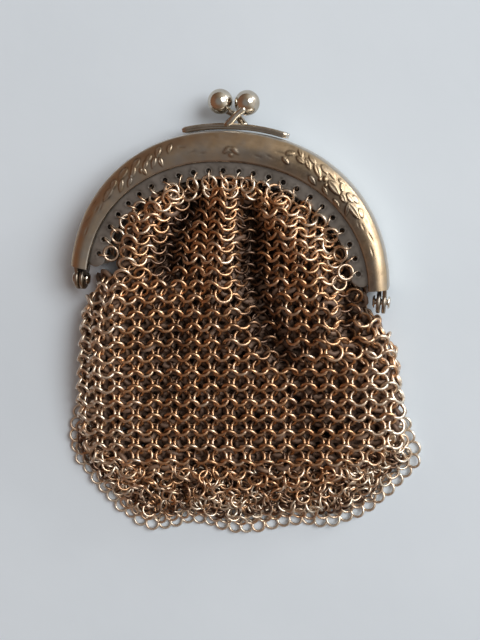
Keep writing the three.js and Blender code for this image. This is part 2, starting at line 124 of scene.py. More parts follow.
# Strokes cut into both ends of the band: millimetres from the crown, share of the band, turn, length.
STROKES = [
    (28.3, 0.62, 7, 1.7), (28.8, 0.26, -2, 1.6), (29.1, 0.50, -3, 1.4), (31.5, 0.37, -12, 2.2),
    (33.8, 0.52, -4, 2.0), (7.4, 0.62, 12, 2.0), (9.0, 0.40, -10, 1.6), (5.2, 0.70, 6, 1.8),
]

# Folds of the mail's front: y and x of points along the crest from the arch down, how far it rises, with a
# valley below zero, its width, and the length over which its foot fades out.
FOLDS = [
    ([(17.2, -0.6), (10.4, -0.6), (4.3, -0.8), (-4.0, -1.2)], 1.3, 2.3, 15.0),
    ([(17.7, 7.0), (13.8, 9.3), (10.1, 13.2), (5.5, 16.2), (-0.3, 17.4), (-4.9, 19.3), (-14.0, 22.0)],
     1.5, 2.6, 20.0),
    ([(16.8, -11.8), (12.2, -14.9), (7.8, -18.4), (1.6, -20.8), (-12.0, -23.5), (-27.0, -23.4)],
     1.4, 2.8, 34.0),
    ([(16.7, -6.4), (11.7, -9.6), (8.2, -11.0), (0.0, -12.6)], -2.4, 2.8, 12.0),
    ([(16.0, 3.4), (9.3, 4.3), (3.3, 4.4), (-3.5, 6.7), (-9.4, 9.9), (-16.0, 12.5)], -2.6, 3.0, 20.0),
    ([(12.0, 20.6), (4.0, 22.0), (-4.4, 22.5), (-10.0, 23.6)], -1.9, 1.9, 15.0),
    ([(3.0, 28.6), (0.6, 29.2), (-11.4, 30.4), (-18.0, 31.4)], 0.9, 2.0, 16.0),
    ([(-6.0, -9.0), (-20.0, -10.5), (-34.0, -12.0)], -0.5, 3.4, 28.0),
    ([(-14.0, 16.0), (-30.0, 16.5)], -0.4, 3.6, 24.0),
]

# Distance from one row of rings to the next, at heights from the fringe up to the arch.
ROW_STEPS = [(-41.0, 1.58), (-28.0, 1.52), (-8.0, 1.46), (0.0, 1.36), (4.0, 1.20), (9.0, 1.00), (21.0, 0.95)]

# Line through the fringe's outermost ring centres, and the mail's lower edge, from left to right.
FRINGE_LINE = [
    (-29.6, -27.6), (-30.3, -31.4), (-30.0, -35.6), (-28.3, -38.2), (-25.6, -40.6), (-23.0, -43.4),
    (-20.0, -46.2), (-16.8, -48.2), (-13.8, -49.2), (-10.6, -48.4), (-6.8, -47.0), (-3.6, -46.5),
    (-1.4, -46.9), (1.4, -47.5), (4.6, -47.4), (8.0, -46.8), (11.6, -45.6), (15.4, -44.3),
    (19.6, -44.3), (23.4, -43.4), (26.2, -41.9), (29.0, -40.0), (31.6, -37.4), (33.8, -34.4),
    (36.0, -31.6), (37.3, -29.4), (35.8, -26.4), (34.6, -23.6),
]
HEM_LINE = [
    (-28.0, -27.0), (-28.2, -31.4), (-26.6, -35.0), (-23.6, -37.4), (-18.0, -38.9), (-12.0, -39.1),
    (-6.0, -38.8), (2.0, -38.2), (10.0, -37.0), (18.0, -35.6), (25.0, -33.6), (29.6, -31.0),
    (32.4, -28.0), (33.0, -24.0),
]


def length_of(name, text, default):
    return FloatProperty(name=name, description=text, default=default, unit="LENGTH")


def angle_of(name, text, degrees):
    return FloatProperty(name=name, description=text, default=math.radians(degrees), subtype="ANGLE")


def number_of(name, text, default):
    return FloatProperty(name=name, description=text, default=default)


def colour_of(name, text, default):
    return FloatVectorProperty(name=name, description=text, default=default, subtype="COLOR")


class PurseFrame(bpy.types.PropertyGroup):
    half_width: length_of("Half width", "Half the frame's width", 0.030)
    rise: length_of("Rise", "Height of the arch over the hinge axis", 0.0293)
    squareness: number_of("Squareness", "2 is an ellipse, more is squarer", 2.12)
    band_at_ends: length_of("Band at the ends", "Width of the band by the hinge", 0.0035)
    band_at_crown: length_of("Band at the crown", "Width of the band under the clasp", 0.0056)
    depth: length_of("Depth", "Height of one half over the seam", 0.0044)
    sheet: length_of("Sheet", "Thickness of the metal", 0.0005)
    relief: length_of("Relief", "How far the leaves stand proud", 0.00017)
    strip_width: length_of("Strip width", "Width of the pierced strip that shows", 0.0029)
    holes: IntProperty(name="Holes", description="Holes in each pierced strip", default=24)
    ball_diameter: length_of("Ball diameter", "Diameter of a clasp ball", 0.0046)
    silver: colour_of("Silver", "Clean metal of the frame", (0.41, 0.38, 0.34))
    gold: colour_of("Warm tarnish", "Metal where it has yellowed", (0.52, 0.40, 0.265))
    # Dirt colour, spread where the grime layer says; on the band it also paints shade on the right side and a
    # shadow along the inner lip.
    soot_and_shade: colour_of("Dirt", "Dirt in the hollows", (0.045, 0.035, 0.026))


class PurseMail(bpy.types.PropertyGroup):
    ring_radius: length_of("Ring radius", "Radius to the middle of the wire", 0.00152)
    wire: length_of("Wire", "Wire thickness of the mail", 0.00066)
    column_pitch: length_of("Column pitch", "Spacing of rings in a row", 0.00374)
    row_slope: number_of("Row slope", "How the rows climb to the right", 0.105)
    tilt: angle_of("Tilt", "How far the rings lean", 29)
    skew: angle_of("Skew", "How far the rings turn sideways", -7)
    # How dark a ring's deep parts get: partly tarnish, partly painted shade.
    wear: number_of("Wear", "How much darker a ring is for each millimetre that it lies deep", 0.4)
    fringe_radius: length_of("Fringe ring radius", "Radius of a fringe ring", 0.00128)
    fringe_wire: length_of("Fringe wire", "Wire thickness of the fringe", 0.00052)
    bright: colour_of("Bright rings", "Clean rings", (0.78, 0.70, 0.59))
    bronze: colour_of("Bronze rings", "Yellowed rings", (0.66, 0.40, 0.225))
    # The dark ring colour is reached by tarnish and also by painted shade: deep ring parts, fold valleys, the
    # back face and the dark fill folds.
    umber: colour_of("Dark rings", "Tarnished rings", (0.17, 0.11, 0.08))


class PurseStage(bpy.types.PropertyGroup):
    board: colour_of("Board", "Painted board under the purse", (0.70, 0.80, 0.905))
    key: number_of("Window", "Strength of the window light", 0.50)
    fill: number_of("Room", "Strength of the light from all round", 1.12)


def settled(points, turned=False):
    """Millimetres in the purse's own place to the row frame. `turned` puts a half on the back."""
    points = np.asarray(points, float).copy()
    if turned:
        points[:, 0] *= -1
        points[:, 2] = 2 * PARTING - points[:, 2]
    return points * MM + np.array(HINGE)


def unit(vectors):
    """The vectors' directions at length 1."""
    return vectors / np.linalg.norm(vectors, axis=-1, keepdims=True)


def nearest(share, count):
    """The whole step nearest to a share of the way through `count` steps."""
    return np.rint(share * count).astype(int)


def eased(share):
    """Softens both ends of a rise from 0 to 1."""
    return share * share * (3 - 2 * share)


def distances(points):
    """How far along the line each of its points lies."""
    return np.concatenate([[0], np.cumsum(np.linalg.norm(np.diff(points, axis=0), axis=1))])


def point_at(line, length, where):
    """Points of the line at distances along it. `length` is how far along each of its own points lies."""
    return np.stack([np.interp(where, length, column) for column in line.T], -1)


def smooth_line(points, count, blur=0.0):
    """The line resampled to evenly spaced points, softened over `blur` of its length."""
    points = np.asarray(points, float)
    fine = 40 * len(points)
    for step in (fine, count):
        length = distances(points)
        points = point_at(points, length, np.linspace(0, length[-1], step))
        if step == fine and blur:
            half = max(1, int(blur * fine))
            kernel = np.hanning(2 * half + 3)[1:-1]
            kernel /= kernel.sum()
            pad = [2 * points[0] - points[half:0:-1], points, 2 * points[-1] - points[-2:-half - 2:-1]]
            padded = np.concatenate(pad)
            points = np.stack([np.convolve(column, kernel, "valid") for column in padded.T], 1)
    return points


def shaped_grid(columns, rows, place, layers=()):
    """A grid of faces whose corners, u and v from 0 to 1, go where `place` puts them. What `place` gives
    after the first three numbers is kept on the corners under the names in `layers`."""
    bm = bmesh.new()
    bmesh.ops.create_grid(bm, x_segments=columns, y_segments=rows, size=0.5)
    flat = np.array([v.co[:2] for v in bm.verts]) + 0.5
    kept = [bm.verts.layers.float.new(name) for name in layers]
    for vert, values in zip(bm.verts, place(flat[:, 0], flat[:, 1])):
        vert.co = values[:3]
        for layer, value in zip(kept, values[3:]):
            vert[layer] = value
    return bm


def closed_up(bm, distance=1e-6):
    """Merges the seam, fills open ends and turns the faces outwards."""
    bmesh.ops.remove_doubles(bm, verts=bm.verts, dist=distance)
    open_edges = [e for e in bm.edges if e.is_boundary]
    if open_edges:
        bmesh.ops.holes_fill(bm, edges=open_edges, sides=0)
    bmesh.ops.recalc_face_normals(bm, faces=bm.faces)
    return bm


def swept(path, section, scale):
    """A closed body whose section, across and up in millimetres, follows a path and is scaled along it."""
    section = np.asarray(section, float)
    ahead = unit(np.gradient(path, axis=0))
    side = unit(np.cross(ahead, UP))
    up = np.cross(side, ahead)
    ring = np.concatenate([section, section[:1]])

    def place(u, v):
        i, k = nearest(u, len(path) - 1), nearest(v, len(ring) - 1)
        return path[i] + scale[i, None] * (side[i] * ring[k, :1] + up[i] * ring[k, 1:])

    return closed_up(shaped_grid(len(path) - 1, len(ring) - 1, place))


def rounded_box(width, height, radius, steps=3):
    """Section of a bar with rounded corners."""
    points = []
    for quarter, (x, y) in enumerate([(1, 1), (-1, 1), (-1, -1), (1, -1)]):
        centre = (x * (width / 2 - radius), y * (height / 2 - radius))
        for i in range(steps + 1):
            angle = math.pi / 2 * (quarter + i / steps)
            points.append((centre[0] + radius * math.cos(angle), centre[1] + radius * math.sin(angle)))
    return points


def circle(radius, count):
    turns = [2 * math.pi * k / count for k in range(count)]
    return [(radius * math.cos(turn), radius * math.sin(turn)) for turn in turns]


def turned_profile(profile, steps, axis, centre):
    """A body of revolution from points of radius and height, on an axis through a centre."""
    bm = bmesh.new()
    verts = [bm.verts.new((radius, 0, height)) for radius, height in profile]
    edges = [bm.edges.new(pair) for pair in zip(verts, verts[1:])]
    bmesh.ops.spin(bm, geom=verts + edges, cent=(0, 0, 0), axis=(0, 0, 1), angle=2 * math.pi, steps=steps,
                   use_merge=True)
    closed_up(bm, 1e-4)
    turn = Vector((0, 0, 1)).rotation_difference(Vector(axis)).to_matrix()
    bmesh.ops.rotate(bm, verts=bm.verts, cent=(0, 0, 0), matrix=turn)
    bmesh.ops.translate(bm, verts=bm.verts, vec=centre)
    return bm


def mesh_of(bm, name):
    mesh = bpy.data.meshes.new(name)
    bm.to_mesh(mesh)
    bm.free()
    return mesh


def placed(name, data):
    """An object for the data, in the scene."""
    thing = bpy.data.objects.new(name, data)
    bpy.context.scene.collection.objects.link(thing)
    return thing


def joined(parts):
    """Several bodies as one bmesh."""
    whole = bmesh.new()
    for part in parts:
        mesh = mesh_of(part, "part")
        whole.from_mesh(mesh)
        bpy.data.meshes.remove(mesh)
    return whole


def finished(bm, name, turned=False):
    """The piece's object, with its place in its mesh and smooth faces."""
    places = settled([v.co for v in bm.verts], turned)
    for vert, place in zip(bm.verts, places):
        vert.co = place
    mesh = mesh_of(bm, name)
    mesh.shade_smooth()
    return placed(name, mesh)


def applied(piece, *kinds):
    """Adds modifiers, given as (type, settings), and applies them."""
    for kind, settings in kinds:
        modifier = piece.modifiers.new(kind.title(), kind)
        for key, value in settings.items():
            setattr(modifier, key, value)
    graph = bpy.context.evaluated_depsgraph_get()
    mesh = bpy.data.meshes.new_from_object(piece.evaluated_get(graph))
    piece.modifiers.clear()
    old = piece.data
    piece.data = mesh
    bpy.data.meshes.remove(old)
    mesh.name = piece.name
    mesh.shade_smooth()
    return piece


def fitted(piece, material, slot, *nodes):
    """Rides the body, takes its finish and stands for its nodes."""
    piece.data.materials.clear()
    piece.data.materials.append(material)
    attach(piece, "root")
    if nodes:
        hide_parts(*nodes)
    return piece


def sharp_at(piece, degrees):
    """Keeps edges over this angle crisp under smooth shading."""
    piece.data.set_sharp_from_angle(angle=math.radians(degrees))


def painted(piece, **layers):
    """Stores layers of numbers on the mesh's corner points, the same number or one for each."""
    for name, values in layers.items():
        layer = piece.data.attributes.get(name) or piece.data.attributes.new(name, "FLOAT", "POINT")
        layer.data.foreach_set("value", np.broadcast_to(values, len(layer.data)).astype(np.float32))


def mesh_points(piece):
    """The mesh's corner points in the purse's own place."""
    flat = np.zeros(len(piece.data.vertices) * 3, np.float32)
    piece.data.vertices.foreach_get("co", flat)
    return (flat.reshape(-1, 3) - np.array(HINGE)) / MM


# Materials


def new_material(name):
    """A material, its nodes, its shader and its coordinates."""
    material = bpy.data.materials.new(name)
    material.use_nodes = True
    nodes = material.node_tree.nodes
    return material, nodes, nodes["Principled BSDF"], nodes.new("ShaderNodeTexCoord")


def add_node(nodes, kind, **values):
    """A node with its settings and, by socket name with underscores for spaces, its inputs."""
    node = nodes.new(kind)
    for key, value in values.items():
        if hasattr(node, key):
            setattr(node, key, value)
        else:
            node.inputs[key.replace("_", " ")].default_value = value
    return node


def link(source, output, target, socket):
    target.id_data.links.new(source.outputs[output], target.inputs[socket])


def noise(nodes, source, scale, detail, roughness=0.5, output="Object"):
    """Noise over coordinates in metres."""
    node = add_node(nodes, "ShaderNodeTexNoise", Scale=scale, Detail=detail, Roughness=roughness)
    link(source, output, node, "Vector")
    return node


def ranged(nodes, source, output, from_range, to_range=(0.0, 1.0)):
    """The output, moved from one range to another."""
    low, high = from_range
    node = add_node(nodes, "ShaderNodeMapRange", From_Min=low, From_Max=high, To_Min=to_range[0],
                    To_Max=to_range[1])
    link(source, output, node, "Value")
    return node


def ramp(nodes, source, output, stops):
    """Colours along the output."""
    node = nodes.new("ShaderNodeValToRGB")
    elements = node.color_ramp.elements
    while len(elements) < len(stops):
        elements.new(0.5)
    for element, (position, colour) in zip(elements, stops):
        element.position = position
        element.color = (*colour, 1)
    link(source, output, node, "Fac")
    return node


def bump(nodes, source, strength, distance):
    """Unevenness from a noise, with the distance in metres."""
    node = add_node(nodes, "ShaderNodeBump", Strength=strength, Distance=distance)
    link(source, "Fac", node, "Height")
    return node


# Colour sockets of a Mix node. Those for numbers have the same names.
MIX_FIRST, MIX_SECOND, MIX_RESULT = 6, 7, 2


def covered(nodes, source, colour, share, output):
    """The source's colour, covered by another colour as far as the share's output says."""
    node = add_node(nodes, "ShaderNodeMix", data_type="RGBA")
    link(share, output, node, "Factor")
    link(source, "Color", node, MIX_FIRST)
    node.inputs[MIX_SECOND].default_value = (*colour, 1)
    return node


def mixed(colour, other, share):
    return tuple(a + (b - a) * share for a, b in zip(colour, other))


# Scales of the noises over metres: stains, spots of dirt, wear, and scratches in three directions. How deep
# scratches and dents go, in metres.
STAINS, SPOTS, WEAR, SCRATCHES = 420, 1500, 900, (900, 5200, 1600)
SCRATCH_DEPTH, DENT_DEPTH = 0.00004, 0.00008


def tarnished_metal(name, stops, roughness, grain, scratch, dirt=None, metallic=1.0, dent=0.35):
    """Metal whose colour runs along the piece's own tarnish, with stains, scratches and a fine uneven face.
    Where the piece has grime, the dirt colour covers it; tarnish and grime also carry painted shade and
    highlights on some pieces.
    It is made the first time that it is asked for."""
    if name in bpy.data.materials:
        return bpy.data.materials[name]
    material, nodes, shader, place = new_material(name)
    shader.inputs["Metallic"].default_value = metallic
    tone = add_node(nodes, "ShaderNodeAttribute", attribute_name="tarnish")
    stain = noise(nodes, place, STAINS * grain, 5, 0.6)
    shift = ranged(nodes, stain, "Fac", (0.3, 0.7), (-0.16, 0.16))
    total = add_node(nodes, "ShaderNodeMath", operation="ADD", use_clamp=True)
    link(tone, "Fac", total, 0)
    link(shift, "Result", total, 1)
    colours = ramp(nodes, total, "Value", stops)
    if dirt:
        grime = add_node(nodes, "ShaderNodeAttribute", attribute_name="grime")
        spots = noise(nodes, place, SPOTS * grain, 4, 0.65)
        patches = ranged(nodes, spots, "Fac", (0.35, 0.7), (0.45, 1.25))
        cover = add_node(nodes, "ShaderNodeMath", operation="MULTIPLY", use_clamp=True)
        link(grime, "Fac", cover, 0)
        link(patches, "Result", cover, 1)
        link(covered(nodes, colours, dirt, cover, "Value"), MIX_RESULT, shader, "Base Color")
    else:
        link(colours, "Color", shader, "Base Color")
    wear = noise(nodes, place, WEAR * grain, 6, 0.7)
    link(ranged(nodes, wear, "Fac", (0.3, 0.72), roughness), "Result", shader, "Roughness")
    stretch = add_node(nodes, "ShaderNodeMapping", Scale=SCRATCHES, Rotation=(0.2, 0.1, 0.7))
    link(place, "Object", stretch, "Vector")
    scratches = bump(nodes, noise(nodes, stretch, 1, 3, output="Vector"), scratch, SCRATCH_DEPTH)
    dents = bump(nodes, wear, dent, DENT_DEPTH)
    link(scratches, "Normal", dents, "Normal")
    link(dents, "Normal", shader, "Normal")
    return material


def frame_metal(look):
    polished = mixed(look.silver, (1.0, 0.93, 0.82), 0.4)
    stops = [(0.0, polished), (0.3, look.silver), (0.7, look.gold), (1.0, mixed(look.gold, look.soot_and_shade, 0.6))]
    return tarnished_metal("pressed_silver", stops, (0.30, 0.44), 0.7, 0.12, look.soot_and_shade, dent=0.2)


def clasp_metal(look):
    polished = mixed(look.silver, (1, 0.95, 0.84), 0.65)
    stops = [(0.0, polished), (0.45, mixed(look.silver, look.gold, 0.4)),
             (1.0, mixed(look.gold, look.soot_and_shade, 0.7))]
    return tarnished_metal("polished_clasp", stops, (0.08, 0.18), 0.8, 0.12, look.soot_and_shade, dent=0.12)


def strip_metal(look):
    stops = [(0.0, mixed(look.silver, WHITE, 0.1)), (0.6, mixed(look.silver, look.soot_and_shade, 0.5)),
             (1.0, look.soot_and_shade)]
    return tarnished_metal("pierced_strip", stops, (0.30, 0.46), 0.9, 0.4, look.soot_and_shade)


def ring_metal(look):
    # Past the dark rings the colour runs to near black, painted shade for the deepest parts of the weave.
    stops = [(0.0, look.bright), (0.3, mixed(look.bright, look.bronze, 0.5)), (0.5, look.bronze),
             (0.8, look.umber), (1.0, mixed(look.umber, BLACK, 0.4))]
    return tarnished_metal("ring_metal", stops, (0.27, 0.45), 1.6, 0.2)


def shade_fill_metal(look):
    """Dull dark brown rings, painted shade inside the bag, that only show through the gaps of the mail."""
    stops = [(0.0, mixed(look.umber, look.bronze, 0.8)), (1.0, look.umber)]
    return tarnished_metal("shade_fill_rings", stops, (0.5, 0.7), 1.6, 0.2, metallic=0.25)


# Frame halves


def arch(half_width, rise, squareness, angle):
    """Points of the arch at angles that run from the left end over the crown to the right end."""
    power = 2 / squareness
    cos, sin = np.cos(angle), np.sin(angle)
    return np.stack([-half_width * np.sign(cos) * np.abs(cos) ** power, rise * np.abs(sin) ** power], 1)


def arch_angle(share, squareness):
    """Angle from the arch's foot to a share of its height, or from its crown to a share of its half width."""
    return math.asin(share ** (squareness / 2))


def band_lines(look, columns, fine=8000):
    """Outer and inner edge of the band and the way along it from the crown, denser where the sprays are."""
    half, rise = look.half_width / MM, look.rise / MM
    start = arch_angle(BAND_FOOT / rise, look.squareness)
    angles = np.linspace(start, math.pi - start, fine + 1)
    outer = arch(half, rise, look.squareness, angles)
    inner = arch(half - look.band_at_ends / MM, rise - look.band_at_crown / MM, look.squareness, angles)
    step = np.linalg.norm(np.diff((outer + inner) / 2, axis=0), axis=1)
    along = np.concatenate([[0], np.cumsum(step)])
    along -= along[-1] / 2
    spray_middle, spray_reach, density = 19, 9.5, 2.4
    weight = np.where(np.abs(np.abs(along[1:]) - spray_middle) < spray_reach, density, 1.0)
    walked = np.concatenate([[0], np.cumsum(weight * step)])
    pick = np.searchsorted(walked, np.linspace(0, walked[-1], columns + 1)).clip(0, fine)
    return outer[pick], inner[pick], along[pick]


def leaf_directions(off, down, turn):
    """The same distances along and across a leaf or stroke that is turned by degrees."""
    cos, sin = math.cos(math.radians(turn)), math.sin(math.radians(turn))
    return off * cos + down * sin, down * cos - off * sin


def stamped(along, across, width_at):
    """The sprays over the band laid flat: height as a share of the relief, worn brightness and dirt."""
    height, worn, dirt = (np.zeros_like(along) for _ in range(3))
    for at, share, turn, length, width, bright in LEAVES:
        off = along * math.copysign(1, at) - abs(at)
        p, q = leaf_directions(off, across - share * width_at(at), turn)
        q = np.abs(q)
        length, width = length * LEAF_LENGTHS, width * LEAF_WIDTHS
        reach = np.clip(1 - (2 * p / length) ** 2, 0, 1)
        half = width / 2 * reach ** 0.7 * (1 - 0.5 * p / length)
        inside = np.clip(1 - q / np.maximum(half, 1e-6), 0, 1)
        body = eased(np.minimum(1, 2.6 * inside)) * (0.6 + 0.4 * reach) * (1 - 0.5 * inside ** 2)
        height = np.maximum(height, body)
        worn = np.maximum(worn, bright * body)
        gap = np.hypot(np.maximum(np.abs(p) - length / 2, 0), np.maximum(q - half, 0))
        dirt = np.maximum(dirt, np.exp(-(gap / 0.24) ** 2))
    for at, share, radius in BEADS:
        gap = np.hypot(along - at, across - share * width_at(at)) / radius
        body = np.sqrt(np.clip(1 - gap ** 2, 0, 1))
        height, worn = np.maximum(height, body), np.maximum(worn, 0.6 * body)
        dirt = np.maximum(dirt, np.exp(-(np.maximum(gap - 1, 0) * radius / 0.2) ** 2))
    dirt *= np.clip(1 - 1.5 * height, 0, 1)
    for at, share, turn, length in STROKES:
        p, q = leaf_directions(np.abs(along) - at, across - share * width_at(at), turn)
        cut = np.exp(-(q / 0.12) ** 2) * np.clip(1 - (2 * p / length) ** 2, 0, 1)
        height -= 0.5 * cut
        dirt = np.maximum(dirt, 0.7 * cut)
    return height, worn, dirt


def pressed_half(look, columns=500, rows=60):
    """The pressed face of one half with its sprays, lying on the parting plane, and its tarnish and grime,
    which also carry painted highlights on the rims, painted shade on the band's right side and a painted
    shadow along its inner lip.
    """
    outer, inner, along = band_lines(look, columns)
    profile = smooth_line(SKIN, rows + 1, 0.003)
    depth, relief = look.depth / MM, look.relief / MM
    band = np.linalg.norm(inner - outer, axis=1)

    def place(u, v):
        i, k = nearest(u, columns), nearest(v, rows)
        share = profile[k, 0]
        plan = outer[i] + (inner[i] - outer[i]) * share[:, None]
        height, worn, dirt = stamped(along[i], share * band[i], lambda at: np.interp(at, along, band))
        fade = np.clip((share - 0.05) / 0.07, 0, 1) * np.clip((0.93 - share) / 0.07, 0, 1)
        top = profile[k, 1] * depth + height * fade * relief
        # Painted shade on the right side of the band, where the window falls: its outer rim is tarnished
        # darker and warmer and the rest is dirtier, the inner half most, so that less highlight and pale
        # reflection shows.
        right = np.clip(along[i] / 12, 0, 1)
        outer_rim_shade = np.clip((0.06 - share) / 0.03, 0, 1)
        inner_half = right * np.clip((share - 0.45) / 0.15, 0, 1)
        warm = np.interp(share, *zip(*BAND_TARNISH_AND_LIGHT)) - 0.14 * worn ** 1.5 * fade
        tarnish = np.clip(warm + right * (0.1 + 0.3 * outer_rim_shade), 0, 1)
        grime = (0.06 + 0.6 * dirt + 0.34 * inner_half) * fade + 0.12 * right * (1 - inner_half)
        # Painted shadow along the inner lip where the band meets the strip, with the right side's lip darker
        # still.
        grime = grime + 0.8 * (share > 0.99) + 0.5 * (along[i] > 0) * (share > 0.95)
        return np.column_stack([plan, top + PARTING, tarnish, grime])

    return shaped_grid(columns, rows, place, ("tarnish", "grime"))


# Flat eye of the hinge: radius, thickness, bore and bevel, and its outer face's x on either half. The back
# half's ears fit inside the front half's.
EAR_RADIUS, EAR_THICKNESS, EAR_BORE, EAR_EDGE = 2.1, 0.7, 0.62, 0.12
FRONT_EAR_X, BACK_EAR_X = 29.6, 28.6
# Root of the eye in the end of the half: length and middle in y, how much less high it is than the half's
# inside, its foot over the seam, the y under which it tapers, and the share of its height that is left there.
ROOT_LENGTH, ROOT_MIDDLE, ROOT_DROP, ROOT_FOOT, ROOT_TAPER, ROOT_TIP = 3.2, 2.35, 0.6, 0.45, 1.5, 0.55


def hinge_ears(ear_x, root_top):
    """Eyes of the hinge with their roots, on both sides of one half."""
    half, flat = EAR_THICKNESS / 2, EAR_THICKNESS / 2 - EAR_EDGE
    low, high = EAR_BORE + EAR_EDGE, EAR_RADIUS - EAR_EDGE
    profile = [(EAR_BORE, -flat), (low, -half), (high, -half), (EAR_RADIUS, -flat), (EAR_RADIUS, flat),
               (high, half), (low, half), (EAR_BORE, flat), (EAR_BORE, -flat)]
    root_height = root_top - ROOT_DROP
    parts = []
    for side in (-1, 1):
        middle = side * (ear_x - half)
        parts.append(turned_profile(profile, 36, (1, 0, 0), (middle, 0, PARTING)))
        root = bmesh.new()
        bmesh.ops.create_cube(root, size=1)
        bmesh.ops.scale(root, vec=(EAR_THICKNESS * 0.98, ROOT_LENGTH, root_height), verts=root.verts)
        root_place = (middle, ROOT_MIDDLE, PARTING + ROOT_FOOT + root_height / 2)
        bmesh.ops.translate(root, vec=root_place, verts=root.verts)
        for vert in root.verts:
            if vert.co.y < ROOT_TAPER:
                vert.co.z = PARTING + (vert.co.z - PARTING) * ROOT_TIP
        bmesh.ops.bevel(root, geom=root.edges[:], offset=0.1, segments=2, profile=0.5, affect="EDGES",
                        material=-1)
        parts.append(root)
    return parts


def add_half(look, name, node, ear_x, turned):
    face = finished(pressed_half(look), name, turned)
    applied(face, ("SOLIDIFY", {"thickness": look.sheet, "offset": 1.0, "use_even_offset": True}))
    share = (look.half_width / MM - ear_x) / (look.band_at_ends / MM)
    root_top = np.interp(share, *zip(*SKIN)) * look.depth / MM - look.sheet / MM
    ears = finished(joined(hinge_ears(ear_x, root_top)), name + "_ears", turned)
    painted(ears, tarnish=0.45, grime=0.3)
    bm = bmesh.new()
    for part in (face, ears):
        bm.from_mesh(part.data)
    bmesh.ops.recalc_face_normals(bm, faces=bm.faces)
    bm.to_mesh(face.data)
    bm.free()
    bpy.data.objects.remove(ears)
    face.data.shade_smooth()
    sharp_at(face, 50)
    return fitted(face, frame_metal(look), "frame_silver", node)


# Pierced strips


# How far the middles of the holes lie inside the band, the holes' radius, and what of the strip is hidden
# under the band.
HOLE_INSET = 1.55
HOLE_RADIUS = 0.48
STRIP_TUCK = 1.0


def strip_lines(look, inset_outer, inset_inner, count):
    """Edges of the strip at two insets from the band's inner edge."""
    inner_half = (look.half_width - look.band_at_ends) / MM
    inner_rise = (look.rise - look.band_at_crown) / MM
    start = arch_angle((BAND_FOOT + look.strip_width / MM / 2) / inner_rise, look.squareness)
    angles = np.linspace(start, math.pi - start, count)
    return [arch(inner_half - inset, inner_rise - inset, look.squareness, angles)
            for inset in (inset_outer, inset_inner)]


def hole_places(look, steps=400):
    """Middles of the strip's holes, with the direction inwards."""
    width = look.strip_width / MM
    outer, inner = strip_lines(look, 0.2, width, steps)
    line, _ = strip_lines(look, HOLE_INSET, width, steps)
    length = distances(line)
    where = (np.arange(look.holes) + 0.5) / look.holes * length[-1]
    index = np.searchsorted(length, where).clip(1, steps - 1)
    return line[index], unit(inner[index] - outer[index])


def strip_level():
    """Underside and top of the front strip over the table."""
    low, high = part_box("front_strip")
    return low.z / MM, high.z / MM


def add_strip(look, name, node, turned, columns=240, rows=12):
    low, high = strip_level()
    outer, inner = strip_lines(look, -STRIP_TUCK, look.strip_width / MM, columns + 1)

    def place(u, v):
        i, share = nearest(u, columns), nearest(v, rows) / rows
        ends = np.minimum(i, columns - i) / columns
        pull = 1.15 * np.clip(1 - ends / 0.03, 0, 1) ** 2
        plan = outer[i] + (inner[i] - outer[i]) * share[:, None]
        plan[:, 1] -= pull * np.sin(math.pi * share)
        return np.column_stack([plan, high + 0.05 * np.sin(math.pi * share)])

    strip = finished(shaped_grid(columns, rows, place), name, turned)
    holes, _ = hole_places(look)
    cutters = []
    for x, y in holes:
        peg = bmesh.new()
        bmesh.ops.create_cone(peg, cap_ends=True, segments=16, radius1=HOLE_RADIUS, radius2=HOLE_RADIUS,
                              depth=3)
        bmesh.ops.translate(peg, verts=peg.verts, vec=(x, y, (low + high) / 2))
        cutters.append(peg)
    pegs = finished(joined(cutters), name + "_pegs", turned)
    rounded = {"width": 0.0001, "segments": 2, "limit_method": "ANGLE", "angle_limit": math.radians(50)}
    applied(strip, ("SOLIDIFY", {"thickness": (high - low) * MM, "offset": 1.0}),
            ("BOOLEAN", {"object": pegs, "operation": "DIFFERENCE", "solver": "EXACT"}), ("BEVEL", rounded))
    bpy.data.objects.remove(pegs)
    sharp_at(strip, 40)
    points = mesh_points(strip)
    if turned:
        holes = holes * [-1, 1]
    # Grime is nil on each hole's bevelled rim, which stays clean and bright as a painted highlight, and
    # strongest in a darker ring just outside it.
    near = np.sqrt(((points[:, None, :2] - holes[None]) ** 2).sum(2)).min(1)
    painted(strip, tarnish=0.17 + 0.12 * np.sin(points[:, 0] * 0.7 + points[:, 1] * 0.4),
            grime=np.where(near < 0.66, 0.0, 0.12 + 0.5 * np.exp(-((near - 0.6) / 0.4) ** 2)))
    return fitted(strip, strip_metal(look), "strip_silver", node)


# Clasp and hinge pins


# Lock bar: height over the frame, depth from front to back, and half its length.
BAR_HEIGHT, BAR_DEPTH, BAR_REACH = 1.1, 2.1, 9.4
# Height of the balls' middles over the frame, and how far both are moved to the left.
BALL_HEIGHT, BALL_SHIFT = 4.9, 0.7


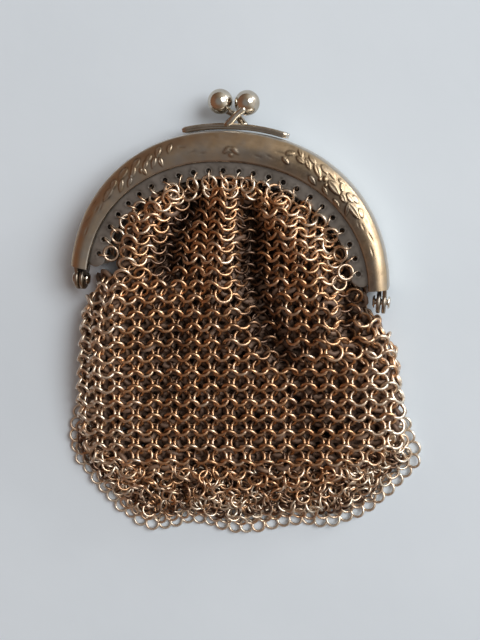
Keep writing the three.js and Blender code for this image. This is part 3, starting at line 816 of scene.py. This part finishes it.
def clasp_bodies(look, lean, steps=48):
    """Lock bar, stem and ball of one half. `lean` moves the ball away from the middle."""
    half, rise = look.half_width / MM, look.rise / MM
    foot_y = rise + CLEARANCE + BAR_HEIGHT / 2
    angle = arch_angle(BAR_REACH / half, look.squareness)
    angles = math.pi / 2 + np.linspace(-angle, angle, steps + 1)
    foot = arch(half + CLEARANCE + BAR_HEIGHT / 2, foot_y, look.squareness, angles)
    path = np.column_stack([foot, np.full(len(foot), PARTING + (BAR_DEPTH + 0.15) / 2)])
    ends = np.minimum(np.arange(steps + 1), steps - np.arange(steps + 1)) / steps
    taper = 0.72 + 0.28 * np.clip(ends / 0.04, 0, 1) ** 0.5
    bar = swept(path, rounded_box(BAR_HEIGHT, BAR_DEPTH - 0.15, 0.22), taper)
    lip = swept(path + [0, 0.12, 0.12], rounded_box(0.5, BAR_DEPTH - 0.1, 0.14), taper * 0.985)
    radius = look.ball_diameter / MM / 2
    ball_x, ball_y = radius + 0.2 + lean, rise + CLEARANCE + BALL_HEIGHT
    foot_z = BAR_DEPTH / 2 + 0.15
    corners = [(-1.9, foot_y - 0.1, foot_z + 0.5), (-0.9, foot_y + 0.6, foot_z + 0.6),
               (0.1, foot_y + 1.9, foot_z + 0.55), (ball_x - 0.2, ball_y - 1.1, 1.5), (ball_x, ball_y, 0.5)]
    line = smooth_line(corners, 33, 0.1)
    line[:, 2] += PARTING
    thick = np.interp(np.linspace(0, 1, 33), [0, 0.12, 0.35, 0.5, 0.8, 1], [0.7, 1.15, 1.05, 1.0, 1.1, 0.8])
    stem = swept(line, circle(0.6, 16), thick)
    ball = bmesh.new()
    bmesh.ops.create_uvsphere(ball, u_segments=48, v_segments=32, radius=radius)
    bmesh.ops.translate(ball, verts=ball.verts, vec=(ball_x, ball_y, PARTING))
    return [bar, lip, stem, ball]


def add_clasp(look, name, node, lean, turned):
    clasp = finished(joined(clasp_bodies(look, lean)), name, turned)
    sharp_at(clasp, 55)
    points = mesh_points(clasp)
    on_bar = np.clip((look.rise / MM + 2.2 - points[:, 1]) / 0.8, 0, 1)
    # Painted shade: tarnish grows the lower a part lies, fully so below the parting plane, so that the balls'
    # lower rims show no bright reflection of the board.
    low = np.interp(points[:, 2] - PARTING, [0.0, 1.3, 2.2], [1.0, 0.45, 0.0])
    painted(clasp, tarnish=0.05 + 0.5 * low * (1 - on_bar) + 0.26 * on_bar, grime=0.05 + 0.1 * on_bar)
    return fitted(clasp, clasp_metal(look), "clasp_silver", node)


def add_pin(look, name, node):
    low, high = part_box(node)
    length = (high.x - low.x) / MM
    head = [(0, 0), (0.75, 0.03), (1.02, 0.12), (1.15, 0.30), (1.15, 0.44), (0.55, 0.5)]
    profile = head + [(radius, length - height) for radius, height in reversed(head)]
    start = (low.x - HINGE.x) / MM
    pin = finished(turned_profile(profile, 32, (1, 0, 0), (start, 0, PARTING)), name)
    sharp_at(pin, 50)
    painted(pin, tarnish=0.12, grime=0.1)
    return fitted(pin, clasp_metal(look), "clasp_silver", node)


# Ring mail


def ring_shape(radius, wire, segments=16, sides=5):
    """Corner points and faces of one ring, flat on its own middle."""
    bm = bmesh.new()
    bmesh.ops.create_circle(bm, segments=sides, radius=wire / 2)
    bmesh.ops.rotate(bm, verts=bm.verts, cent=(0, 0, 0), matrix=Matrix.Rotation(math.pi / 2, 3, "X"))
    bmesh.ops.translate(bm, verts=bm.verts, vec=(radius, 0, 0))
    bmesh.ops.spin(bm, geom=bm.verts[:] + bm.edges[:], cent=(0, 0, 0), axis=(0, 0, 1), angle=2 * math.pi,
                   steps=segments, use_merge=True)
    bmesh.ops.remove_doubles(bm, verts=bm.verts, dist=wire * 0.05)
    bmesh.ops.recalc_face_normals(bm, faces=bm.faces)
    bm.verts.index_update()
    points = np.array([v.co for v in bm.verts])
    faces = np.array([[v.index for v in f.verts] for f in bm.faces])
    bm.free()
    return points, faces


def ring_piece(name, shape, rings, look, slot, nodes=(), metal=ring_metal):
    """Many rings joined into one mesh. Each ring is a middle, three directions, its tarnish and the way the
    mail faces there: what lies deep is darker, partly tarnish and partly painted shade, and what stands proud
    is worn a little."""
    points, faces = shape
    middles, turns, tones, facing = (np.array([r[k] for r in rings]) for k in range(4))
    places = np.einsum("pk,rkc->rpc", points, turns)
    proud = np.einsum("rpc,rc->rp", places, facing)
    # Painted shade in part: corners are darker by `wear` for each millimetre they lie deep, and lighter by a
    # quarter as much where they stand proud.
    tones = tones[:, None] + look.wear * np.where(proud < 0, -proud, -0.25 * proud)
    places += middles[:, None, :]
    corners = faces[None] + (np.arange(len(rings)) * len(points))[:, None, None]
    mesh = bpy.data.meshes.new(name)
    mesh.vertices.add(places.shape[0] * places.shape[1])
    mesh.vertices.foreach_set("co", settled(places.reshape(-1, 3)).astype(np.float32).ravel())
    mesh.loops.add(corners.size)
    mesh.loops.foreach_set("vertex_index", corners.astype(np.int32).ravel())
    mesh.polygons.add(corners.size // 4)
    mesh.polygons.foreach_set("loop_start", np.arange(0, corners.size, 4, dtype=np.int32))
    mesh.update(calc_edges=True)
    mesh.validate()
    mesh.shade_smooth()
    piece = placed(name, mesh)
    painted(piece, tarnish=np.clip(tones, 0, 1).ravel())
    return fitted(piece, metal(look), slot, *nodes)


def clipped(tone):
    return float(np.clip(tone, 0, 1))


def turn_about(axis, angle):
    return np.array(Matrix.Rotation(angle, 3, Vector(axis)))


def leaned(ahead, up_row, normal, lean):
    """Directions of a ring that leans out of the sheet: along its row, up the sheet and through the ring."""
    cos, sin = math.cos(lean), math.sin(lean)
    return np.array([ahead, up_row * cos + normal * sin, normal * cos - up_row * sin])


def mail_tree():
    """The bag's solid, merged and smoothed, for laying the mail on."""
    bm = bmesh.new()
    bm.from_mesh(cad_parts["mail_bag"].data)
    bmesh.ops.remove_doubles(bm, verts=bm.verts, dist=1e-6)
    skin = placed("bag_skin", mesh_of(bm, "bag_skin"))
    applied(skin, ("SUBSURF", {"levels": 2, "render_levels": 2}))
    bm = bmesh.new()
    bm.from_mesh(skin.data)
    for vert in bm.verts:
        vert.co = (vert.co - HINGE) / MM
    tree = BVHTree.FromBMesh(bm)
    bm.free()
    bpy.data.objects.remove(skin)
    return tree


def fold_at(x, y):
    """How far the front stands over the bag's solid at a place."""
    rise = 0.0
    for path, height, width, reach in FOLDS:
        ys, xs = zip(*reversed(path))
        middle = np.interp(y, ys, xs)
        fade = np.clip((y - ys[0]) / (0.35 * reach), 0, 1)
        fade = eased(fade) * np.clip((ys[-1] + 3.0 - y) / 3.0, 0, 1)
        rise += height * fade * math.exp(-((x - middle) / width) ** 2)
    return rise


# Upper edge of the mail beside the left end of the strip, where the table shows.
LEFT_SHOULDER = [(-29.0, -3.2), (-28.0, -2.0), (-25.3, 1.0), (-21.4, 2.3), (-19.5, 4.5)]
# Top and lowest row of the mail and the y under which it wraps round its sides, and half its width and its
# height inside the arch.
TOP_ROW, LOWEST_ROW, THROAT_Y = 20.6, -40.8, -2.4
ARCH_SPACE = (22.8, 20.2)
# How far the rings' middles lie under the bag's solid, and where across it that is felt: from, to and step.
MAIL_INSET = 0.75
SECTION_RANGE = (-36, 42, 0.4)
# How near the rings of a row come to its ends, and how far to either side a ring's direction is felt.
ROW_MARGIN, AHEAD = 0.35, 0.7
# Folds of dark mail between the walls, painted shade that darkens the gaps of the mail: how far they lie
# under the bag's solid, and their top row.
SHADE_FILL_FOLDS = [(2.6, 18.0), (4.4, 17.0)]
# Rings that bind the mail to the strips: radius and wire.
BINDING_RING = (1.0, 0.3)
# Where rays towards the bag start: over it, beside it, and round its edge. How many steps in from an edge the
# bag's thickness there is felt.
RAY_OVER, RAY_BESIDE, RAY_ROUND = 40, 60, 20
PROBE = 8


def row_section(tree, at_centre, slope, side, inset):
    """Points of the mail's front (side 1) or back (-1) along one row, from edge to edge."""
    def height_at(x):
        return at_centre + slope * x

    def cast(origin, direction):
        return tree.ray_cast(Vector(origin), Vector(direction).normalized())[0]

    def wrapped(end, centre):
        """Points round the edge at one end, from over it to just under its middle."""
        points = []
        for degrees in range(80, -11, -10):
            ray = np.array([end * math.cos(math.radians(degrees)), 0, side * math.sin(math.radians(degrees))])
            origin = centre + RAY_ROUND * ray
            origin[1] = height_at(origin[0])
            hit = cast(origin, (-ray[0], -slope * ray[0], -ray[2]))
            if hit is not None:
                place = np.array(hit) - inset * ray
                points.append((place[0], height_at(place[0]), place[2]))
        return points

    over = []
    for x in np.arange(*SECTION_RANGE):
        y = height_at(x)
        hit = cast((x, y, side * RAY_OVER), (0, 0, -side))
        if hit is not None:
            over.append((x, y, hit.z - side * inset + (fold_at(x, y) if side > 0 else 0)))
    if len(over) <= PROBE:
        return None
    points = over
    for end in (-1, 1):
        tip, probe = (over[0], over[PROBE]) if end < 0 else (over[-1], over[-1 - PROBE])
        if tip[1] > THROAT_Y:
            continue
        other = cast((probe[0], probe[1], -side * RAY_OVER), (0, 0, side))
        if other is None:
            continue
        middle_z = (probe[2] + other.z) / 2
        edge = cast((end * RAY_BESIDE, height_at(end * RAY_BESIDE), middle_z), (-end, -slope * end, 0))
        if edge is None:
            continue
        half = max(abs(probe[2] - other.z) / 2, 1.2)
        centre = np.array([edge.x - end * (half + 0.6), 0, middle_z])
        wrap = wrapped(end, centre)
        keep = [p for p in points if end * (p[0] - centre[0]) < 0]
        points = keep + wrap if end > 0 else wrap[::-1] + keep
    return smooth_line(points, 160, 0.012)


def mail_tone(x, y, dip):
    """Tarnish of a ring: bronze in the middle, pale along the edges and towards the arch, dark in folds,
    partly tarnish and partly painted shade.
    """
    left_edge, right_edge, lower_edge, arch_edge = -29, 35, -40, (25.5, 22.5)
    left = np.clip((x - left_edge) / 13, 0, 1)
    right = np.clip((right_edge - x) / 13, 0, 1)
    foot = np.clip((y - lower_edge) / 12, 0, 1)
    arch_gap = 1 - math.hypot(x / arch_edge[0], y / arch_edge[1]) if y > 0 else 1
    head = np.clip(arch_gap / 0.35, 0, 1)
    middle = min(left, right) * (0.55 + 0.45 * foot) * (0.6 + 0.4 * head)
    return 0.07 + 0.50 * middle + 0.38 * np.clip(dip, 0, 1)


def in_mail(x, y, deep):
    """Whether a ring may lie there: inside the arch, clear of the gap at the left and, deep down, of the one
    at the right under the arch."""
    if x < LEFT_SHOULDER[-1][0] and y > np.interp(x, *zip(*LEFT_SHOULDER)) - 1.5:
        return False
    reach = 0.87 if deep and x > 5 and y > 9 else 1.0
    return y < 2 or math.hypot(x / ARCH_SPACE[0], y / ARCH_SPACE[1]) < reach


def row_places(top_y, foot_y):
    """Where the rows of the mail lie, from the arch down."""
    places = [top_y]
    while places[-1] > foot_y:
        places.append(places[-1] - float(np.interp(places[-1], *zip(*ROW_STEPS))))
    return places


def sheet_directions(here, ahead, above, below, side):
    """Up the sheet and out of it at a place, from the rows above and below it."""
    climb = 0.0
    if above is not None and below is not None:
        up, low = (row[np.argmin((row[:, 0] - here[0]) ** 2 + (row[:, 2] - here[2]) ** 2)]
                   for row in (above, below))
        climb = float(np.clip((up[2] - low[2]) / (up[1] - low[1]), -0.8, 0.8))
    normal = unit(side * np.cross(ahead, (0.0, 1.0, climb)))
    return side * np.cross(normal, ahead), normal


def lay_mail(look, tree, side, seed, inset=MAIL_INSET, top_y=TOP_ROW, messy=0.0):
    """Rings of one face of the bag, row by row, interlocked by leaning up and down in turn."""
    chance = np.random.default_rng(seed)
    pitch = look.column_pitch / MM
    sections = [row_section(tree, y, look.row_slope, side, inset) for y in row_places(top_y, LOWEST_ROW)]
    rings = []
    for r, section in enumerate(sections):
        if section is None:
            continue
        length = distances(section)
        start = np.interp(0, section[:, 0], length) + (r % 2) / 2 * pitch + (0.3 if side < 0 else 0.0)
        first = math.ceil((ROW_MARGIN - start) / pitch)
        last = math.floor((length[-1] - ROW_MARGIN - start) / pitch)
        above, below = (sections[i] if 0 <= i < len(sections) else None for i in (r - 2, r + 2))
        for k in range(first, last + 1):
            way = start + k * pitch
            here = point_at(section, length, way)
            if not in_mail(here[0], here[1], side < 0 or messy > 0):
                continue
            before, after = (point_at(section, length, way + step) for step in (-AHEAD, AHEAD))
            ahead = unit(after - before)
            up_row, normal = sheet_directions(here, ahead, above, below, side)
            lean = look.tilt * (1 if r % 2 else -1) + chance.normal(0, 0.05)
            turn = leaned(ahead, up_row, normal, lean)
            if np.linalg.det(turn) < 0:
                turn[2] *= -1
            turn = turn @ turn_about(up_row, look.skew * side).T
            loose = np.clip((-30 - here[1] + 0.11 * here[0]) / 7, 0, 1)
            wobble = 0.055 + 0.16 * loose + 0.3 * messy
            turn = turn @ turn_about(chance.normal(0, 1, 3), chance.normal(0, wobble)).T
            here = here + chance.normal(0, 0.05 + 0.12 * loose + 0.5 * messy, 3) * [1, 1, 0.6]
            steep = math.sqrt(max(1 - turn[2][2] ** 2, 0))
            stand = steep * look.ring_radius + look.wire * (0.8 if messy else 0.5)
            here[2] = max(here[2], stand / MM)
            # Rings in the fold valleys and all on the back face are darker, partly tarnish and partly painted
            # shade; the messy fill folds are darker still, as painted shade.
            dip = -fold_at(here[0], here[1]) / 1.6 if side > 0 else 0.3
            tone = mail_tone(here[0], here[1], dip) + chance.normal(0, 0.10) + messy
            rings.append((here, turn, float(tone), normal))
    return rings


def lower_lines(steps):
    """The line of the fringe's outermost rings and the mail's lower edge, at as many places each."""
    return smooth_line(FRINGE_LINE, steps, 0.01), smooth_line(HEM_LINE, steps, 0.02)


def fringe_rings(look, seed, layers=7, pitch=2.44, row_step=1.6, steps=400):
    """Loose rows of small rings from the outermost one, which lies on the table, up to the mail's edge."""
    chance = np.random.default_rng(seed)
    outer, hem = lower_lines(steps)
    radius = look.fringe_radius / MM
    rings = []
    count = int(distances(outer)[-1] / pitch)
    for layer in range(layers):
        loose = min(layer, 4) / 4
        for k in range(count + 1):
            share = (k + 0.5 * (layer % 2)) / count
            if share > 1:
                continue
            at = share * (steps - 1)
            low = int(at)
            high = min(low + 1, steps - 1)
            place, hem_place = (line[low] + (line[high] - line[low]) * (at - low) for line in (outer, hem))
            reach = np.linalg.norm(hem[low] - outer[low])
            inward = (hem_place - place) / reach
            if layer * row_step > reach + row_step:
                continue
            plan = place + inward * layer * row_step + chance.normal(0, 0.10 + 0.28 * loose, 2)
            lean = (0.30 if layer % 2 else -0.16) + chance.normal(0, 0.10 + 0.5 * loose)
            roll = chance.normal(0, 0.08 + 0.40 * loose)
            up_row = np.array([*inward, 0])
            turn = leaned(np.array([inward[1], -inward[0], 0]), up_row, UP, lean) @ turn_about(up_row, roll).T
            lift = look.fringe_wire / MM / 2 + (abs(math.sin(lean)) + abs(math.sin(roll))) * radius
            middle = np.array([*plan, lift + 0.1 + 0.42 * layer])
            tone = 0.17 - 0.09 * share + 0.07 * layer + chance.normal(0, 0.09)
            rings.append((middle, turn, clipped(tone), UP))
    return rings


def hem_rings(seed, count=760, steps=400):
    """Loose rings, a third of them bright, that lie tumbled between the mail's lower edge and the fringe."""
    chance = np.random.default_rng(seed)
    outer, hem = lower_lines(steps)
    rings = []
    for k in range(count):
        low = int((k + chance.uniform(0, 1)) / count * (steps - 1))
        reach = np.linalg.norm(hem[low] - outer[low])
        inward = (hem[low] - outer[low]) / reach
        plan = hem[low] + inward * chance.uniform(2.6 - reach, 1.6)
        turn = turn_about(chance.normal(0, 1, 3) * [1, 1, 0.4], chance.uniform(0.3, 1.2))
        middle = np.array([*plan, chance.uniform(1.2, 2.4)])
        tone = chance.choice([0.08, 0.92], p=[0.33, 0.67]) + chance.normal(0, 0.1)
        rings.append((middle, turn, clipped(tone), UP))
    return rings


def on_side(back, middle, turn):
    """A ring's place, directions and the way it faces, turned over if it lies on the back."""
    if not back:
        return middle, turn, UP
    return np.array([-middle[0], middle[1], 2 * PARTING - middle[2]]), turn * [-1, 1, -1], -UP


def binding_rings(look, seed, offset=0.95, swing=0.45):
    """Small rings through the holes of both strips. They swing a little to either side."""
    chance = np.random.default_rng(seed)
    level = sum(strip_level()) / 2
    rings = []
    for back in (False, True):
        for hole, inward in zip(*hole_places(look)):
            middle = np.array([*(hole + inward * offset), level + chance.normal(0, 0.08)])
            across = np.array([*inward, 0])
            turn = np.array([across, UP, np.cross(across, UP)])
            turn = turn @ turn_about(UP, chance.choice([-1, 1]) * swing + chance.normal(0, 0.16)).T
            turn = turn @ turn_about((-inward[1], inward[0], 0), chance.normal(0, 0.25)).T
            middle, turn, facing = on_side(back, middle, turn)
            rings.append((middle, turn, clipped(0.28 + chance.normal(0, 0.1)), facing))
    return rings


# Rows of rings along the arch: distance from the band, how far under the strip, lean in radians.
ARCH_ROWS = [(3.7, -0.45, -0.2), (5.2, 0.1, 0.45)]


def arch_rings(look, seed, pitch=3.4, size=0.88, steps=400):
    """The mail's top rings, which hang on the binding rings along the arch."""
    chance = np.random.default_rng(seed)
    low, _ = strip_level()
    rings = []
    for layer, (inset, drop, row_lean) in enumerate(ARCH_ROWS):
        line, deeper = strip_lines(look, inset, inset + 1, steps)
        length = distances(line)
        count = int(length[-1] / pitch)
        for k in range(count):
            where = (k + 0.5 * (layer + 1) + chance.normal(0, 0.08)) / count * length[-1]
            i = int(np.clip(np.searchsorted(length, where), 1, steps - 1))
            x, y = line[i]
            if x < LEFT_SHOULDER[-1][0] and y < 5.5:
                continue
            inward = np.append(unit(deeper[i] - line[i]), 0)
            turn = leaned(np.cross(inward, UP), inward, UP, row_lean + chance.normal(0, 0.25))
            turn = turn @ turn_about(inward, chance.normal(0, 0.35)).T
            for back in (False, True):
                middle = np.array([x, y, low - drop + chance.normal(0, 0.1)])
                middle, spun, facing = on_side(back, middle, turn * size)
                rings.append((middle, spun, clipped(0.20 + chance.normal(0, 0.1)), facing))
    return rings


# Stage


def board_material(look):
    material, nodes, shader, place = new_material("painted_board")
    shader.inputs["Roughness"].default_value = 0.55
    stops = [(0.3, mixed(look.board, BLACK, 0.035)), (0.7, mixed(look.board, WHITE, 0.03))]
    link(ramp(nodes, noise(nodes, place, 28, 4), "Fac", stops), "Color", shader, "Base Color")
    link(bump(nodes, noise(nodes, place, 240, 3), 0.08, 0.0003), "Normal", shader, "Normal")
    return material


# Camera found from the outline: turns in degrees about the line of sight, the picture's x and its y, and the
# shift and distance in millimetres.
CAMERA_ROLL = -3.14
CAMERA_PITCH = 8.97
CAMERA_YAW = -10.89
CAMERA_SHIFT = (-1.43, 6.43)
CAMERA_DISTANCE = 200.0
FOCAL_PIXELS = 1040.6
IMAGE_HEIGHT = 640


def place_camera():
    roll = Matrix.Rotation(math.radians(CAMERA_ROLL), 3, "Z")
    pitch = Matrix.Rotation(math.radians(CAMERA_PITCH), 3, "X")
    yaw = Matrix.Rotation(math.radians(CAMERA_YAW), 3, "Y")
    turn = pitch @ yaw @ roll
    middle = turn.transposed() @ Vector((-CAMERA_SHIFT[0], -CAMERA_SHIFT[1], CAMERA_DISTANCE))
    data = bpy.data.cameras.new("photo_camera")
    data.sensor_fit = "VERTICAL"
    data.sensor_height = 24.0
    data.lens = data.sensor_height * FOCAL_PIXELS / IMAGE_HEIGHT
    data.clip_start = 0.01
    data.clip_end = 10.0
    camera = placed("photo_camera", data)
    camera.matrix_world = Matrix.Translation(middle * MM + HINGE) @ turn.transposed().to_4x4()
    bpy.context.scene.camera = camera


def area_light(name, place, size, power, colour):
    """A window that faces the purse, with its place and size in metres."""
    data = bpy.data.lights.new(name, "AREA")
    data.shape = "RECTANGLE"
    data.size, data.size_y = size
    data.energy = power
    data.color = colour
    light = placed(name, data)
    light.location = place
    light.rotation_euler = (-Vector(place)).to_track_quat("-Z", "Y").to_euler()


# Colours of the walls from the dark side to the bright side: share of the way round, colour.
WALLS = [
    (0.0, (0.22, 0.105, 0.06)), (0.35, (0.16, 0.095, 0.062)), (0.55, (0.20, 0.15, 0.11)),
    (0.66, (0.30, 0.24, 0.18)), (0.76, (0.45, 0.42, 0.37)), (0.875, (0.66, 0.64, 0.61)),
    (1.0, (0.82, 0.81, 0.78)),
]
CEILING = (0.21, 0.20, 0.195)
BRIGHT_SIDE = (0.93, 0.36, 0.0)


def light_room(scene, look):
    """Light from all round: a bright wall at the right, a grey ceiling and a dark brown wall at the left."""
    world = bpy.data.worlds.new("room")
    world.use_nodes = True
    nodes = world.node_tree.nodes
    place = nodes.new("ShaderNodeTexCoord")
    side = add_node(nodes, "ShaderNodeVectorMath", operation="DOT_PRODUCT")
    side.inputs[1].default_value = BRIGHT_SIDE
    link(place, "Generated", side, 0)
    walls = ramp(nodes, ranged(nodes, side, "Value", (-1, 1)), "Result", WALLS)
    parts = nodes.new("ShaderNodeSeparateXYZ")
    link(place, "Generated", parts, "Vector")
    height = ranged(nodes, parts, "Z", (0.76, 0.97))
    background = nodes["Background"]
    link(covered(nodes, walls, CEILING, height, "Result"), MIX_RESULT, background, "Color")
    background.inputs["Strength"].default_value = look.fill
    scene.world = world
    scene.view_settings.view_transform = "Standard"


# Windows: place and size in metres, power at strength 1, colour. Half the board's width in millimetres.
WINDOWS = {
    "window": ((0.93, 0.54, 1.12), (0.86, 0.86), 36, (1.0, 0.98, 0.95)),
    "low_window": ((0.62, 0.50, 0.16), (0.22, 0.12), 3.4, (1.0, 0.97, 0.92)),
}
BOARD_REACH = 1500


class PURSE_OT_stage(bpy.types.Operator):
    """Sets the camera, the board and the lights"""
    bl_idname = "purse.stage"
    bl_label = "Stage"

    def execute(self, context):
        look = context.scene.purse_stage
        place_camera()
        bm = bmesh.new()
        bmesh.ops.create_grid(bm, x_segments=1, y_segments=1, size=BOARD_REACH)
        board = finished(bm, "board")
        board.data.materials.append(board_material(look))
        for name, (place, size, power, colour) in WINDOWS.items():
            area_light(name, place, size, look.key * power, colour)
        light_room(context.scene, look)
        return {"FINISHED"}


class PURSE_OT_frame_halves(bpy.types.Operator):
    """Presses both halves of the frame with their leaf sprays and hinge ears"""
    bl_idname = "purse.frame_halves"
    bl_label = "Frame halves"

    def execute(self, context):
        look = context.scene.purse_frame
        add_half(look, "front_half", "front_bow", FRONT_EAR_X, False)
        add_half(look, "back_half", "back_bow", BACK_EAR_X, True)
        return {"FINISHED"}


class PURSE_OT_strips(bpy.types.Operator):
    """Cuts the pierced strips that carry the mail"""
    bl_idname = "purse.strips"
    bl_label = "Pierced strips"

    def execute(self, context):
        look = context.scene.purse_frame
        add_strip(look, "front_pierced_strip", "front_strip", False)
        add_strip(look, "back_pierced_strip", "back_strip", True)
        return {"FINISHED"}


class PURSE_OT_clasp(bpy.types.Operator):
    """Makes the lock bars, stems and balls, and the hinge pins"""
    bl_idname = "purse.clasp"
    bl_label = "Clasp and pins"

    def execute(self, context):
        look = context.scene.purse_frame
        add_clasp(look, "front_ball_and_bar", "front_clasp", -BALL_SHIFT, False)
        add_clasp(look, "back_ball_and_bar", "back_clasp", BALL_SHIFT, True)
        add_pin(look, "right_pin", "right_hinge_rivet")
        add_pin(look, "left_pin", "left_hinge_rivet")
        return {"FINISHED"}


class PURSE_OT_mail(bpy.types.Operator):
    """Weaves the ring mail of the bag's front and back"""
    bl_idname = "purse.mail"
    bl_label = "Ring mail"

    def execute(self, context):
        look = context.scene.purse_mail
        tree = mail_tree()
        radius, wire = look.ring_radius / MM, look.wire / MM
        shape = ring_shape(radius, wire)
        ring_piece("mail_front", shape, lay_mail(look, tree, 1, 11), look, "bronze_mail", ["mail_bag"])
        ring_piece("mail_back", shape, lay_mail(look, tree, -1, 12), look, "bronze_mail")
        # Dark fill folds between the walls, with thicker wire and a dull dark finish: painted shade for the
        # gaps of the mail.
        plain = ring_shape(radius, wire * 1.6, 12, 4)
        for k, (inset, top_y) in enumerate(SHADE_FILL_FOLDS):
            fold = lay_mail(look, tree, 1, 13 + k, inset, top_y, messy=0.7)
            ring_piece(f"mail_shade_fill_fold_{k + 1}", plain, fold, look, "bronze_mail", metal=shade_fill_metal)
        return {"FINISHED"}


class PURSE_OT_fringe(bpy.types.Operator):
    """Links the ring fringe and binds the mail to the strips"""
    bl_idname = "purse.fringe"
    bl_label = "Fringe and binding"

    def execute(self, context):
        look = context.scene.purse_mail
        frame_look = context.scene.purse_frame
        small = ring_shape(look.fringe_radius / MM, look.fringe_wire / MM)
        ring_piece("fringe_rings", small, fringe_rings(look, 21), look, "bright_mail", ["ring_fringe"])
        ring_piece("hem_rings", small, hem_rings(24), look, "bright_mail")
        binding, large = ring_shape(*BINDING_RING), ring_shape(look.ring_radius / MM, look.wire / MM)
        ring_piece("binding_rings", binding, binding_rings(frame_look, 22), look, "bright_mail")
        ring_piece("arch_rings", large, arch_rings(frame_look, 23), look, "bright_mail")
        return {"FINISHED"}


class PURSE_PT_panel(bpy.types.Panel):
    """Lists the pieces of the purse"""
    bl_label = "Ring-mail coin purse"
    bl_idname = "PURSE_PT_panel"
    bl_space_type = "VIEW_3D"
    bl_region_type = "UI"
    bl_category = "Purse"

    def draw(self, context):
        scene = context.scene
        for group in (scene.purse_frame, scene.purse_mail, scene.purse_stage):
            for name in group.__annotations__:
                self.layout.prop(group, name)
        for operator in OPERATORS:
            self.layout.operator(operator.bl_idname)


OPERATORS = [
    PURSE_OT_stage, PURSE_OT_frame_halves, PURSE_OT_strips, PURSE_OT_clasp, PURSE_OT_mail, PURSE_OT_fringe,
]
GROUPS = {"purse_frame": PurseFrame, "purse_mail": PurseMail, "purse_stage": PurseStage}


def register():
    for cls in (*GROUPS.values(), *OPERATORS, PURSE_PT_panel):
        bpy.utils.register_class(cls)
    for name, group in GROUPS.items():
        setattr(bpy.types.Scene, name, PointerProperty(type=group))


def unregister():
    for name in GROUPS:
        delattr(bpy.types.Scene, name)
    for cls in reversed((*GROUPS.values(), *OPERATORS, PURSE_PT_panel)):
        bpy.utils.unregister_class(cls)


def main():
    register()
    bpy.ops.purse.stage()
    bpy.ops.purse.frame_halves()
    bpy.ops.purse.strips()
    bpy.ops.purse.clasp()
    bpy.ops.purse.mail()
    bpy.ops.purse.fringe()


if __name__ == "__main__":
    main()
